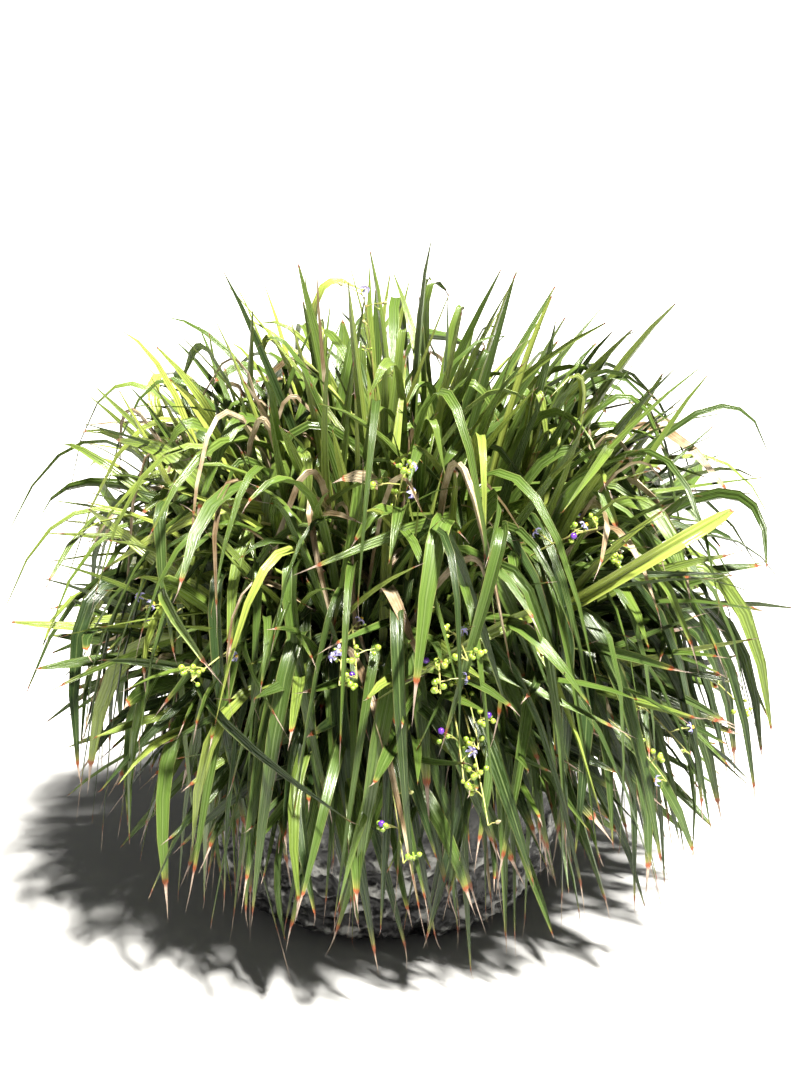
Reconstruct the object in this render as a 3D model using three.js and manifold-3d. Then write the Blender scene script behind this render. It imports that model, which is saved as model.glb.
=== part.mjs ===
// A flax lily in a round stone bowl: the bowl, the soil that fills it, leafy shoots that
// arch out over the rim, and thin flower stalks with buds, open flowers and berries.
// Millimetres, +Z up. The origin is on the ground, at the middle of the bowl's foot, and
// the side that faces -Y is the front.
// Each shoot and each flower stalk is one solid. A seeded rule grows them one after the
// other, and draws a leaf again until it is clear of all that was grown before it.

import * as THREE from 'three';
import { mergeVertices } from 'three/addons/utils/BufferGeometryUtils.js';
import Module from 'manifold-3d';

// Bowl: a full round wall on a flat foot, with three drain holes
const BOWL = { height: 250, foot: 190, belly: 258, rim: 282, wall: 19, floor: 22, lip: 6 };
const BELLY_SHARE = 0.2;
const BOWL_SIDES = 36;
const DRAIN = { count: 3, radius: 8, ring: 95, sides: 10 };

// Soil: its top is a little higher in the middle
const SOIL = { edge: 221, middle: 229, gap: 0.4, inset: 1.2, sides: 24 };
const HOLE_GAP = 0.5;
const BURIED = 26;

// Canes: the flat bundle of leaf bases that a shoot's leaves grow from
const SHOOTS = 38;
const SHOOT_RING = 196;
const RING_POWER = 0.43;
const CANE = { middle: 360, edge: 225, lean: 50, broad: 10, thin: 7, top: 0.6, knee: 0.42 };
const CANE_FOOT = 10;

// Leaves: half widths and lengths, and where along the leaf it is widest and begins to taper
const LEAF = { half: 9.2, shortest: 140, longest: 700, widest: 0.38, taper: 0.45 };
const TAPER_POWER = 1.7;
const KEEL = { rise: 0.18, drop: 0.12, least: 0.9 };
const ROOT = { half: 0.42, inset: 0.2, free: 0.15 };
const MOST_LEAVES = 13;

// Arch: how far out and how high above its ends a leaf's knee lies
const KNEE = { near: 0.5, far: 0.85, swerve: 0.25, lift: 25, climbLow: 0.62, climbHigh: 0.9 };
const STEEP = { low: 1.3, high: 3.8, full: -45, none: 380 };

// Crown: the dome that the leaf tips fill, and its two bands, in degrees from its top
const CROWN = { reach: 560, depth: 0.92, top: 545, centre: 450, shift: 30 };
const UPRIGHT = { leaves: 84, from: 0, to: 58, deepest: 0.4, seed: 400 };
const ARCHING = { leaves: 250, from: 48, to: 128, deepest: 0.3, seed: 600 };

// Skirt: the leaves that hang past the bowl, with their tips this far out and this high
const SKIRT = { leaves: 112, near: 325, far: 570, low: 40, high: 280, shift: 50, seed: 1500 };
const SKIRT_RISE = { from: 440, slope: 1 };

// Growing: how often a leaf is drawn, and the room it keeps to its neighbours
const TRIES = 160;
const TRIES_PER_CANE = 20;
const CROWDED_CANE = 13;
const CLEAR = 0.5;
const SLIVER = 0.5;
const FLOOR_GAP = 22;
const BOWL_GAP = 8;

// Tips of the long leaves that stand out from the crown: x, y, z
const LONG_SEED = 300;
const LONG_LEAVES = [
  [70, -20, 1010], [195, 0, 985], [-120, 30, 985], [-235, 0, 965], [250, -60, 920],
  [365, -30, 890], [435, 20, 915], [-325, -40, 870], [-425, 0, 800], [-320, -150, 850],
  [-485, 40, 680], [-570, 0, 535], [-565, -80, 450], [-550, -60, 290], [-460, -120, 245],
  [575, 0, 670], [600, 40, 555], [600, -40, 480], [590, -80, 210], [530, -150, 355],
  [-370, -130, 85], [-270, -200, 45], [-40, -335, 45], [155, -310, 70], [210, -330, 60],
  [410, -265, 55], [560, -220, 40], [-295, -260, 700], [-190, -330, 630], [355, -330, 370],
];

// Flower stalks: foot x, y; head x, y, z; rise of the stalk's arch; what its branches bear
const STALKS = [
  { foot: [-120, -62], head: [-330, -250, 470], arch: 300, berries: 3, flowers: 2, buds: 2 },
  { foot: [12, -22], head: [-30, -100, 945], arch: 40, berries: 0, flowers: 1, buds: 6 },
  { foot: [38, -78], head: [75, -330, 560], arch: 330, berries: 2, flowers: 3, buds: 2 },
  { foot: [76, -140], head: [130, -415, 395], arch: 270, berries: 4, flowers: 1, buds: 1 },
  { foot: [142, -34], head: [330, -230, 600], arch: 260, berries: 4, flowers: 1, buds: 2 },
  { foot: [160, 20], head: [530, -120, 330], arch: 330, berries: 5, flowers: 0, buds: 1 },
  { foot: [-30, -150], head: [-55, -400, 480], arch: 260, berries: 1, flowers: 3, buds: 2 },
  { foot: [30, 130], head: [60, 360, 640], arch: 300, berries: 3, flowers: 2, buds: 3 },
];
const STALK = { half: 1.5, tip: 0.65, spans: 7, foot: 12, seed: 5000, bearing: 0.5 };
const BRANCH = { half: 1, shortest: 18, longest: 34, last: 12, turn: 2.4 };
const BERRY = { radius: 4.6, sunk: 3.7 };
const FLOWER = { radius: 8, waist: 3, back: 3, front: 2.5, sunk: 1.5 };
const BUD = { radius: 2.6, length: 1.7, sunk: 3.1 };

const GOLDEN_ANGLE = THREE.MathUtils.degToRad(137.508);
const UP = new THREE.Vector3(0, 0, 1);
const { clamp, degToRad, lerp } = THREE.MathUtils;

const wasm = await Module();
wasm.setup();

// The same row of draws for the same seed
function seeded(seed) {
  let state = (seed * 7919 + 104729) % 2147483647;
  const draw = (low = 0, high = 1) => {
    state = (state * 48271) % 2147483647;
    return low + (high - low) * (state / 2147483647);
  };
  for (let i = 0; i < 3; i += 1) draw();
  return draw;
}

function heading(azimuth, elevation = 0) {
  const flat = Math.cos(elevation);
  return new THREE.Vector3(
    Math.cos(azimuth) * flat, Math.sin(azimuth) * flat, Math.sin(elevation));
}

function centre(points) {
  const sum = points.reduce((total, point) => total.add(point), new THREE.Vector3());
  return sum.divideScalar(points.length);
}

// The direction of a three-point curve at t, not scaled
function course(curve, t) {
  const first = curve.v1.clone().sub(curve.v0).multiplyScalar(1 - t);
  return first.addScaledVector(curve.v2.clone().sub(curve.v1), t);
}

// Closed skins and solids

// The skin over a row of rings of points, closed at both ends, or brought to a tip
function loft(rings, tip = null) {
  const sides = rings[0].length;
  const points = rings.flat();
  const faces = [];
  for (let j = 1; j < sides - 1; j += 1) faces.push([0, j + 1, j]);
  for (let i = 0; i < rings.length - 1; i += 1) {
    for (let j = 0; j < sides; j += 1) {
      const a = i * sides + j;
      const b = i * sides + ((j + 1) % sides);
      faces.push([a, b, b + sides], [a, b + sides, a + sides]);
    }
  }
  const last = (rings.length - 1) * sides;
  if (tip) {
    points.push(tip);
    for (let j = 0; j < sides; j += 1) {
      faces.push([last + j, last + ((j + 1) % sides), points.length - 1]);
    }
  } else {
    for (let j = 1; j < sides - 1; j += 1) faces.push([last, last + j, last + j + 1]);
  }
  const geometry = new THREE.BufferGeometry().setFromPoints(points);
  geometry.setIndex(faces.flat());
  return geometry;
}

function solid(geometry) {
  const bare = geometry.clone();
  bare.deleteAttribute('normal');
  bare.deleteAttribute('uv');
  const merged = mergeVertices(bare, 1e-4);
  return new wasm.Manifold(new wasm.Mesh({
    numProp: 3,
    vertProperties: new Float32Array(merged.attributes.position.array),
    triVerts: new Uint32Array(merged.index.array),
  }));
}

// The joined solid's one large body, with no sealed hollow and no loose scrap
function joined(geometries) {
  const whole = geometries.map(solid).reduce((sum, next) => sum.add(next));
  const bodies = whole.asOriginal().simplify(SLIVER).decompose();
  return bodies.reduce((best, next) => (next.volume() > best.volume() ? next : best));
}

function named(name, body, material) {
  const { numProp, vertProperties, triVerts } = body.getMesh();
  const geometry = new THREE.BufferGeometry();
  geometry.setAttribute('position', new THREE.BufferAttribute(vertProperties, numProp));
  geometry.setIndex(new THREE.BufferAttribute(triVerts, 1));
  geometry.computeVertexNormals();
  const mesh = new THREE.Mesh(geometry, material);
  mesh.name = name;
  return mesh;
}

// Keeping clear: each leaf, cane and stalk is a row of turned boxes, one for each span

function boxAround(points, along, across, owner, atRoot) {
  const e1 = along.clone().normalize();
  const e2 = across.clone().addScaledVector(e1, -across.dot(e1)).normalize();
  const axes = [e1, e2, e1.clone().cross(e2)];
  const middle = new THREE.Vector3();
  const half = [];
  for (const axis of axes) {
    const reach = points.map((point) => point.dot(axis));
    const low = Math.min(...reach);
    const high = Math.max(...reach);
    middle.addScaledVector(axis, (low + high) / 2);
    half.push((high - low) / 2 + CLEAR);
  }
  return { middle, axes, half, radius: Math.hypot(...half), owner, atRoot };
}

function boxesAlong(rings, owner, rootSpans) {
  return rings.slice(1).map((ring, i) => {
    const from = rings[i];
    const along = centre(ring).sub(centre(from));
    const across = from[0].clone().sub(from[1]).add(ring[0]).sub(ring[1]);
    return boxAround([...from, ...ring], along, across, owner, i < rootSpans);
  });
}

// Two turned boxes meet unless one of fifteen directions parts them
function boxesMeet(a, b) {
  const gap = b.middle.clone().sub(a.middle);
  if (gap.length() >= a.radius + b.radius) return false;
  const t = a.axes.map((axis) => gap.dot(axis));
  const turn = a.axes.map((p) => b.axes.map((q) => p.dot(q)));
  const size = turn.map((row) => row.map((value) => Math.abs(value) + 1e-9));
  for (let i = 0; i < 3; i += 1) {
    const reach = a.half[i] + size[i][0] * b.half[0] + size[i][1] * b.half[1]
      + size[i][2] * b.half[2];
    if (Math.abs(t[i]) > reach) return false;
  }
  for (let j = 0; j < 3; j += 1) {
    const reach = b.half[j] + size[0][j] * a.half[0] + size[1][j] * a.half[1]
      + size[2][j] * a.half[2];
    const apart = t[0] * turn[0][j] + t[1] * turn[1][j] + t[2] * turn[2][j];
    if (Math.abs(apart) > reach) return false;
  }
  for (let i = 0; i < 3; i += 1) {
    const [i1, i2] = [(i + 1) % 3, (i + 2) % 3];
    for (let j = 0; j < 3; j += 1) {
      const [j1, j2] = [(j + 1) % 3, (j + 2) % 3];
      const reach = a.half[i1] * size[i2][j] + a.half[i2] * size[i1][j]
        + b.half[j1] * size[i][j2] + b.half[j2] * size[i][j1];
      if (Math.abs(t[i2] * turn[i1][j] - t[i1] * turn[i2][j]) > reach) return false;
    }
  }
  return true;
}

const grown = [];

function isCrowded(boxes) {
  return boxes.some((box) => grown.some((other) => {
    const sharedRoot = other.owner === box.owner && (other.atRoot || box.atRoot);
    return !sharedRoot && boxesMeet(box, other);
  }));
}

// Bowl

function bowlRadius(z) {
  const belly = BOWL.height * BELLY_SHARE;
  if (z < belly) {
    const share = 1 - z / belly;
    return BOWL.foot + (BOWL.belly - BOWL.foot) * Math.sqrt(1 - share * share);
  }
  const share = (z - belly) / (BOWL.height - belly);
  return BOWL.belly + (BOWL.rim - BOWL.belly) * Math.sin((share * Math.PI) / 2);
}

// Points of the wall's profile at shares of the bowl's height, a little inside it
function wallPoints(shares, inside) {
  return shares.map((share) => {
    const z = share * BOWL.height;
    return new THREE.Vector2(bowlRadius(z) - inside, z);
  });
}

function makeBowl() {
  const inner = BOWL.rim - BOWL.wall;
  const profile = [
    new THREE.Vector2(0, 0),
    new THREE.Vector2(BOWL.foot, 0),
    ...wallPoints([0.025, 0.09, 0.2, 0.45, 0.72], 0),
    new THREE.Vector2(BOWL.rim, BOWL.height - BOWL.lip),
    new THREE.Vector2(BOWL.rim - BOWL.lip, BOWL.height),
    new THREE.Vector2(inner + BOWL.lip, BOWL.height),
    new THREE.Vector2(inner, BOWL.height - BOWL.lip),
    ...wallPoints([0.6, 0.3, 0.16], BOWL.wall),
    new THREE.Vector2(BOWL.foot - BOWL.wall, BOWL.floor),
    new THREE.Vector2(0, BOWL.floor),
  ];
  let bowl = solid(new THREE.LatheGeometry(profile, BOWL_SIDES).rotateX(Math.PI / 2));
  for (let i = 0; i < DRAIN.count; i += 1) {
    const at = heading(((i + 0.25) * 2 * Math.PI) / DRAIN.count).multiplyScalar(DRAIN.ring);
    const drill = new THREE.CylinderGeometry(
      DRAIN.radius, DRAIN.radius, 2 * BOWL.floor, DRAIN.sides);
    drill.rotateX(Math.PI / 2).translate(at.x, at.y, BOWL.floor / 2);
    bowl = bowl.subtract(solid(drill));
  }
  return bowl;
}

// Canes

function soilHeight(radius) {
  const share = Math.min(radius / BOWL.rim, 1);
  return SOIL.middle + (SOIL.edge - SOIL.middle) * share * share;
}

function caneRing(at, along, side, broad, thin) {
  const flat = side.clone().addScaledVector(along, -side.dot(along)).normalize();
  const other = along.clone().cross(flat);
  return [[broad, 0], [0, thin], [-broad, 0], [0, -thin]].map(([x, y]) => at.clone()
    .addScaledVector(flat, x)
    .addScaledVector(other, y));
}

function caneSize(level) {
  return 1 - (1 - CANE.top) * level;
}

function makeCane(i) {
  const draw = seeded(i + 1);
  const ring = Math.pow((i + 0.5) / SHOOTS, RING_POWER);
  const azimuth = i * GOLDEN_ANGLE + draw(-0.12, 0.12);
  const foot = heading(azimuth).multiplyScalar(SHOOT_RING * ring);
  foot.z = soilHeight(SHOOT_RING * ring) - BURIED;
  const length = lerp(CANE.middle, CANE.edge, ring) * draw(0.86, 1.12);
  const lean = degToRad(CANE.lean * Math.pow(ring, 1.4) + draw(0, 7));
  const side = heading(azimuth + draw(-1.2, 1.2));
  const neck = foot.clone().addScaledVector(UP, BURIED + CANE_FOOT);
  const knee = neck.clone().addScaledVector(UP, length * CANE.knee);
  const lead = heading(azimuth + draw(-0.25, 0.25), Math.PI / 2 - lean);
  const top = knee.clone().addScaledVector(lead, length * (1 - CANE.knee));
  const curve = new THREE.QuadraticBezierCurve3(neck, knee, top);
  const rings = [caneRing(foot, UP, side, CANE.broad, CANE.thin)];
  for (const t of [0, 0.5, 1]) {
    const along = course(curve, t).normalize();
    const size = caneSize(t);
    rings.push(caneRing(curve.getPoint(t), along, side, CANE.broad * size, CANE.thin * size));
  }
  return { foot, side, curve, rings, leaves: [] };
}

// Leaves: long straps, keeled below, that taper from the middle to a point

function leafHalf(leaf, t) {
  const swell = Math.sin((Math.min(t / LEAF.widest, 1) * Math.PI) / 2);
  const late = Math.max(t - LEAF.taper, 0) / (1 - LEAF.taper);
  const taper = 1 - Math.pow(late, TAPER_POWER);
  return (leaf.rootHalf + (leaf.half - leaf.rootHalf) * swell) * taper;
}

function leafRing(leaf, t) {
  const { curve } = leaf;
  const along = course(curve, t).normalize();
  const side = course(curve, 0).cross(course(curve, 1)).normalize();
  const over = along.cross(side);
  const turn = leaf.roll + leaf.twist * t;
  const across = side.clone().multiplyScalar(Math.cos(turn))
    .addScaledVector(over, Math.sin(turn));
  const top = over.clone().multiplyScalar(Math.cos(turn))
    .addScaledVector(side, -Math.sin(turn));
  const half = leafHalf(leaf, t);
  const at = curve.getPoint(t);
  const edge = at.clone().addScaledVector(top, half * KEEL.rise);
  return [
    edge.clone().addScaledVector(across, half),
    edge.clone().addScaledVector(across, -half),
    at.clone().addScaledVector(top, -half * KEEL.drop - KEEL.least),
  ];
}

function leafRings(leaf) {
  const bend = course(leaf.curve, 0).angleTo(course(leaf.curve, 1));
  const spans = bend < Math.PI / 4 ? 3 : 4;
  return Array.from({ length: spans }, (_, j) => leafRing(leaf, Math.pow(j / spans, 0.9)));
}

function isClearOfBowl(point) {
  if (point.z < FLOOR_GAP) return false;
  if (point.z > BOWL.height + BOWL_GAP) return true;
  return Math.hypot(point.x, point.y) > bowlRadius(Math.min(point.z, BOWL.height)) + BOWL_GAP;
}

function hangsClear(ends) {
  return ends.slice(1).every((ring, i) => ring.every((point, k) => (
    [0.2, 0.4, 0.6, 0.8, 1].every((share) => (
      isClearOfBowl(ends[i][k].clone().lerp(point, share)))))));
}

// A leaf from somewhere on the cane to about the wished tip. The more effort it takes, the
// further the tip may stray and the slimmer the leaf becomes.
function drawLeaf(cane, tipWish, effort, draw) {
  const loose = 4 + 80 * effort;
  const high = clamp((tipWish.z - 50) / 700, 0, 1);
  const level = draw(0.06 + 0.3 * high, 0.62 + 0.35 * high);
  const tip = tipWish.clone();
  tip.x += draw(-loose, loose);
  tip.y += draw(-loose, loose);
  tip.z += draw(-loose, loose);
  const root = cane.curve.getPoint(level);
  const reach = Math.hypot(tip.x - root.x, tip.y - root.y);
  const azimuth = Math.atan2(tip.y - root.y, tip.x - root.x);
  const out = heading(azimuth);
  const other = course(cane.curve, level).cross(cane.side).normalize();
  const inset = caneSize(level) * ROOT.inset;
  root.addScaledVector(cane.side, Math.sign(out.dot(cane.side)) * CANE.broad * inset);
  root.addScaledVector(other, Math.sign(out.dot(other)) * CANE.thin * inset);
  const rise = tip.z - root.z;
  const share = draw(KNEE.near, KNEE.far);
  const knee = root.clone()
    .addScaledVector(out, reach * share)
    .addScaledVector(heading(azimuth + Math.PI / 2), reach * draw(-KNEE.swerve, KNEE.swerve));
  const steep = draw(STEEP.low, STEEP.high)
    * clamp((STEEP.none - rise) / (STEEP.none - STEEP.full), 0, 1);
  const climb = Math.max(rise, 0) * draw(KNEE.climbLow, KNEE.climbHigh);
  knee.z += Math.max(climb, KNEE.lift) + reach * share * steep;
  return {
    curve: new THREE.QuadraticBezierCurve3(root, knee, tip),
    half: LEAF.half * draw(0.78, 1.22) * (1 - 0.25 * effort),
    rootHalf: ROOT.half * Math.hypot(CANE.broad, CANE.thin) * caneSize(level),
    roll: draw(-0.35, 0.35),
    twist: draw(-0.5, 0.5),
  };
}

function leafLength({ v0, v1, v2 }) {
  return (v0.distanceTo(v1) + v1.distanceTo(v2) + 2 * v0.distanceTo(v2)) / 3;
}

// The leaf's boxes. The first, short one lies in the cane and may meet its shoot.
function leafBoxes(rings, tip, owner) {
  const free = rings[0].map((point, k) => point.clone().lerp(rings[1][k], ROOT.free));
  const last = rings[rings.length - 1];
  const along = tip.clone().sub(centre(last));
  const across = last[0].clone().sub(last[1]);
  return [
    ...boxesAlong([rings[0], free, ...rings.slice(1)], owner, 1),
    boxAround([...last, tip], along, across, owner, false),
  ];
}

function growLeaf(canes, tipWish, seed) {
  const inward = clamp(0.58 - (tipWish.z - 100) / 1400, 0.22, 0.58);
  const order = canes
    .map((cane, i) => {
      const { x, y } = cane.curve.v2;
      const away = Math.hypot(x - tipWish.x * inward, y - tipWish.y * inward);
      return { i, cost: away + CROWDED_CANE * cane.leaves.length };
    })
    .filter(({ i }) => canes[i].leaves.length < MOST_LEAVES)
    .sort((a, b) => a.cost - b.cost);
  const draw = seeded(seed);
  for (let n = 0; n < TRIES; n += 1) {
    const owner = order[Math.floor(n / TRIES_PER_CANE)].i;
    const leaf = drawLeaf(canes[owner], tipWish, n / TRIES, draw);
    const length = leafLength(leaf.curve);
    if (length < LEAF.shortest || length > LEAF.longest) continue;
    const rings = leafRings(leaf);
    const tip = leaf.curve.v2;
    if (!hangsClear([...rings, [tip, tip, tip]])) continue;
    const boxes = leafBoxes(rings, tip, owner);
    if (isCrowded(boxes)) continue;
    canes[owner].leaves.push({ rings, tip });
    grown.push(...boxes);
    return;
  }
}

// The wished tips of a band of the crown, along a spiral from its top
function crownTip(band, i) {
  const draw = seeded(band.seed + 300 + i);
  const from = Math.cos(degToRad(band.from));
  const to = Math.cos(degToRad(band.to));
  const cosine = from - ((i + 0.5) / band.leaves) * (from - to);
  const flat = Math.sqrt(1 - cosine * cosine);
  const depth = 1 - band.deepest * Math.pow(draw(), 1.3);
  const tip = heading(i * GOLDEN_ANGLE).multiplyScalar(flat * CROWN.reach * depth);
  tip.set(tip.x + CROWN.shift, tip.y * CROWN.depth, CROWN.centre + cosine * CROWN.top * depth);
  return tip;
}

function skirtTip(i) {
  const draw = seeded(SKIRT.seed + 300 + i);
  const out = draw(SKIRT.near, SKIRT.far);
  const low = SKIRT.low + Math.max(out - SKIRT_RISE.from, 0) * SKIRT_RISE.slope;
  const tip = heading(i * GOLDEN_ANGLE).multiplyScalar(out);
  tip.set(tip.x + SKIRT.shift, tip.y * CROWN.depth, draw(low, SKIRT.high));
  return tip;
}

// Flower stalks

function tubeRings(points, half) {
  return points.map((point, i) => {
    const from = points[Math.max(i - 1, 0)];
    const to = points[Math.min(i + 1, points.length - 1)];
    const along = i === 0 ? UP : to.clone().sub(from).normalize();
    const side = heading(0).addScaledVector(along, -along.x).normalize();
    const size = half * lerp(1, STALK.tip, i / (points.length - 1));
    return caneRing(point, along, side, size, size);
  });
}

function branchGeometry(from, to) {
  const along = to.clone().sub(from).normalize();
  const side = along.clone().cross(UP).normalize();
  const other = along.clone().cross(side);
  const ring = (at) => [0, 1, 2].map((k) => at.clone()
    .addScaledVector(side, BRANCH.half * Math.cos((k * 2 * Math.PI) / 3))
    .addScaledVector(other, BRANCH.half * Math.sin((k * 2 * Math.PI) / 3)));
  return loft([ring(from), ring(to)]);
}

// A star of six petals, deep in the middle
function flowerGeometry() {
  const points = [new THREE.Vector3(0, 0, -FLOWER.back), new THREE.Vector3(0, 0, FLOWER.front)];
  const faces = [];
  for (let k = 0; k < 12; k += 1) {
    points.push(heading((k * Math.PI) / 6).multiplyScalar(k % 2 ? FLOWER.waist : FLOWER.radius));
    const next = 2 + ((k + 1) % 12);
    faces.push([0, next, 2 + k], [1, 2 + k, next]);
  }
  const geometry = new THREE.BufferGeometry().setFromPoints(points);
  geometry.setIndex(faces.flat());
  return geometry;
}

const BORNE = {
  berry: {
    make: () => new THREE.IcosahedronGeometry(BERRY.radius, 0),
    sunk: BERRY.sunk,
    size: BERRY.radius,
  },
  flower: { make: flowerGeometry, sunk: FLOWER.sunk, size: FLOWER.radius },
  bud: {
    make: () => new THREE.OctahedronGeometry(BUD.radius, 0).scale(1, 1, BUD.length),
    sunk: BUD.sunk,
    size: BUD.radius * BUD.length,
  },
};

// A side branch and what it bears at its end, with the box round both
function bearingBranch(kind, from, out, reach, owner) {
  const { make, sunk, size } = BORNE[kind];
  const face = new THREE.Quaternion().setFromUnitVectors(UP, out);
  const end = from.clone().addScaledVector(out, reach);
  const at = end.clone().addScaledVector(out, sunk);
  const borne = make().applyQuaternion(face).translate(at.x, at.y, at.z);
  const across = new THREE.Vector3(1, 0, 0).applyQuaternion(face);
  const second = out.clone().cross(across);
  const corners = [from, at.clone().addScaledVector(out, size)];
  for (const [x, y] of [[1, 1], [1, -1], [-1, 1], [-1, -1]]) {
    corners.push(at.clone().addScaledVector(across, x * size).addScaledVector(second, y * size));
  }
  return {
    pieces: [branchGeometry(from, end), borne],
    box: boxAround(corners, out, across, owner, true),
  };
}

function drawStalk(spec, n, loose, draw) {
  const foot = new THREE.Vector3(...spec.foot, 0);
  foot.x += draw(-loose, loose);
  foot.y += draw(-loose, loose);
  foot.z = soilHeight(Math.hypot(foot.x, foot.y)) - BURIED;
  const neck = foot.clone().addScaledVector(UP, BURIED + STALK.foot);
  const head = new THREE.Vector3(...spec.head);
  const low = neck.clone();
  low.z += (head.z - neck.z) * 0.3 + spec.arch * 0.5;
  const high = neck.clone().lerp(head, 0.65);
  high.z = Math.max(neck.z, head.z) + spec.arch * 0.45;
  const curve = new THREE.CubicBezierCurve3(neck, low, high, head);
  const line = [foot, ...curve.getPoints(STALK.spans)];
  const rings = tubeRings(line, STALK.half);
  const pieces = [loft(rings)];
  const owner = SHOOTS + n;
  const boxes = boxesAlong(rings, owner, line.length);
  const kinds = [
    ...Array(spec.berries).fill('berry'),
    ...Array(spec.flowers).fill('flower'),
    ...Array(spec.buds).fill('bud'),
  ];
  kinds.forEach((kind, k) => {
    const from = curve.getPoint(1 - (STALK.bearing * k) / kinds.length);
    const out = heading(k * BRANCH.turn + n, draw(-0.1, 0.7));
    const reach = k === 0 ? BRANCH.last : draw(BRANCH.shortest, BRANCH.longest);
    const branch = bearingBranch(kind, from, out, reach, owner);
    pieces.push(...branch.pieces);
    boxes.push(branch.box);
  });
  return { foot, pieces, boxes };
}

function makeStalk(spec, n) {
  const draw = seeded(STALK.seed + n);
  let stalk = drawStalk(spec, n, 0, draw);
  for (let loose = 1; isCrowded(stalk.boxes); loose += 1) {
    stalk = drawStalk(spec, n, loose, draw);
  }
  grown.push(...stalk.boxes);
  return stalk;
}

// Soil, with a plain hole for each cane and stalk

function makeSoil(holes) {
  const inside = BOWL.wall + SOIL.gap + SOIL.inset;
  const base = BOWL.floor + SOIL.gap;
  const middle = BOWL.rim / 2;
  const profile = [
    new THREE.Vector2(0, base),
    new THREE.Vector2(BOWL.foot - inside, base),
    ...wallPoints([0.18, 0.3, 0.6], inside),
    new THREE.Vector2(bowlRadius(SOIL.edge) - inside - SOIL.inset, SOIL.edge),
    new THREE.Vector2(middle, soilHeight(middle)),
    new THREE.Vector2(0, SOIL.middle),
  ];
  const soil = solid(new THREE.LatheGeometry(profile, SOIL.sides).rotateX(Math.PI / 2));
  return holes.map(solid).reduce((rest, hole) => rest.subtract(hole), soil);
}

function holeFor(foot, side, broad, thin) {
  const low = foot.clone().addScaledVector(UP, -HOLE_GAP);
  const high = foot.clone().addScaledVector(UP, 2 * BURIED);
  return loft([low, high].map((at) => (
    caneRing(at, UP, side, broad + 1.3 * HOLE_GAP, thin + 1.3 * HOLE_GAP))));
}

// Materials
const stone = new THREE.MeshStandardMaterial({ color: 0x5c5c59, roughness: 0.85 });
const earth = new THREE.MeshStandardMaterial({ color: 0x33271d, roughness: 0.95 });
const leafGreen = new THREE.MeshStandardMaterial({ color: 0x6b7a3f, roughness: 0.45 });
const stalkGreen = new THREE.MeshStandardMaterial({ color: 0x7f8f5a, roughness: 0.5 });

// The canes are set first, then the stalks, the long leaves and the leaves of the crown
const canes = Array.from({ length: SHOOTS }, (_, i) => makeCane(i));
canes.forEach((cane, i) => grown.push(...boxesAlong(cane.rings, i, cane.rings.length)));
const stalks = STALKS.map(makeStalk);
LONG_LEAVES.forEach((tip, i) => growLeaf(canes, new THREE.Vector3(...tip), LONG_SEED + i));
for (let i = 0; i < UPRIGHT.leaves; i += 1) {
  growLeaf(canes, crownTip(UPRIGHT, i), UPRIGHT.seed + i);
}
for (let i = 0; i < SKIRT.leaves; i += 1) growLeaf(canes, skirtTip(i), SKIRT.seed + i);
for (let i = ARCHING.leaves - 1; i >= 0; i -= 1) {
  growLeaf(canes, crownTip(ARCHING, i), ARCHING.seed + i);
}

const holes = [
  ...canes.map(({ foot, side }) => holeFor(foot, side, CANE.broad, CANE.thin)),
  ...stalks.map(({ foot }) => holeFor(foot, heading(0), STALK.half, STALK.half)),
];
const group = new THREE.Group();
group.add(named('bowl', makeBowl(), stone));
group.add(named('soil', makeSoil(holes), earth));
canes.forEach(({ rings, leaves }, i) => {
  const pieces = [loft(rings), ...leaves.map((leaf) => loft(leaf.rings, leaf.tip))];
  group.add(named(`shoot_${String(i + 1).padStart(2, '0')}`, joined(pieces), leafGreen));
});
stalks.forEach(({ pieces }, i) => {
  group.add(named(`flower_stalk_${i + 1}`, joined(pieces), stalkGreen));
});

export default group;
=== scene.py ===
import math

import bpy
import numpy as np
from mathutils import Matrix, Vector, kdtree


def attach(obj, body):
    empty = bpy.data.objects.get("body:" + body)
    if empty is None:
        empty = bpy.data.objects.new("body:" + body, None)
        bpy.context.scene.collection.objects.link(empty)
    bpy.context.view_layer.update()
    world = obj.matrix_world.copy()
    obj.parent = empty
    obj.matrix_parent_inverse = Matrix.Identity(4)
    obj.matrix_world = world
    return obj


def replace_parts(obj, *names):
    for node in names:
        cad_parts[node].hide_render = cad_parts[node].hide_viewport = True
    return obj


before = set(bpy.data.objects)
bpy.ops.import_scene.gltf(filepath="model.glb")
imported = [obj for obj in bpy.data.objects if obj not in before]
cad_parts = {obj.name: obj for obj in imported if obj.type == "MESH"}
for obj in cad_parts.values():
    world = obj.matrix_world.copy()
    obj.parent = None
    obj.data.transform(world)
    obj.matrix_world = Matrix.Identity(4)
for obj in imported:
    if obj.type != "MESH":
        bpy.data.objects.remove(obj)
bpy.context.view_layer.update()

bpy.ops.object.select_all(action="DESELECT")


# Camera
# It stands in front of the bowl, above the top of the leaves, and looks down 18 degrees
# through a long lens.
CAMERA_TARGET = Vector((0.0254, 0.0, 0.5614))
CAMERA_DISTANCE = 3.0
CAMERA_DOWN = math.radians(18)
CAMERA_LENS = 67.5
CAMERA_REACH = 200
back = Vector((0, -math.cos(CAMERA_DOWN), math.sin(CAMERA_DOWN)))
bpy.ops.object.camera_add(
    location=CAMERA_TARGET + CAMERA_DISTANCE * back,
    rotation=(math.pi / 2 - CAMERA_DOWN, 0, 0),
)
camera = bpy.context.object
camera.data.lens = CAMERA_LENS
camera.data.clip_end = CAMERA_REACH
bpy.context.scene.camera = camera


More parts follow.
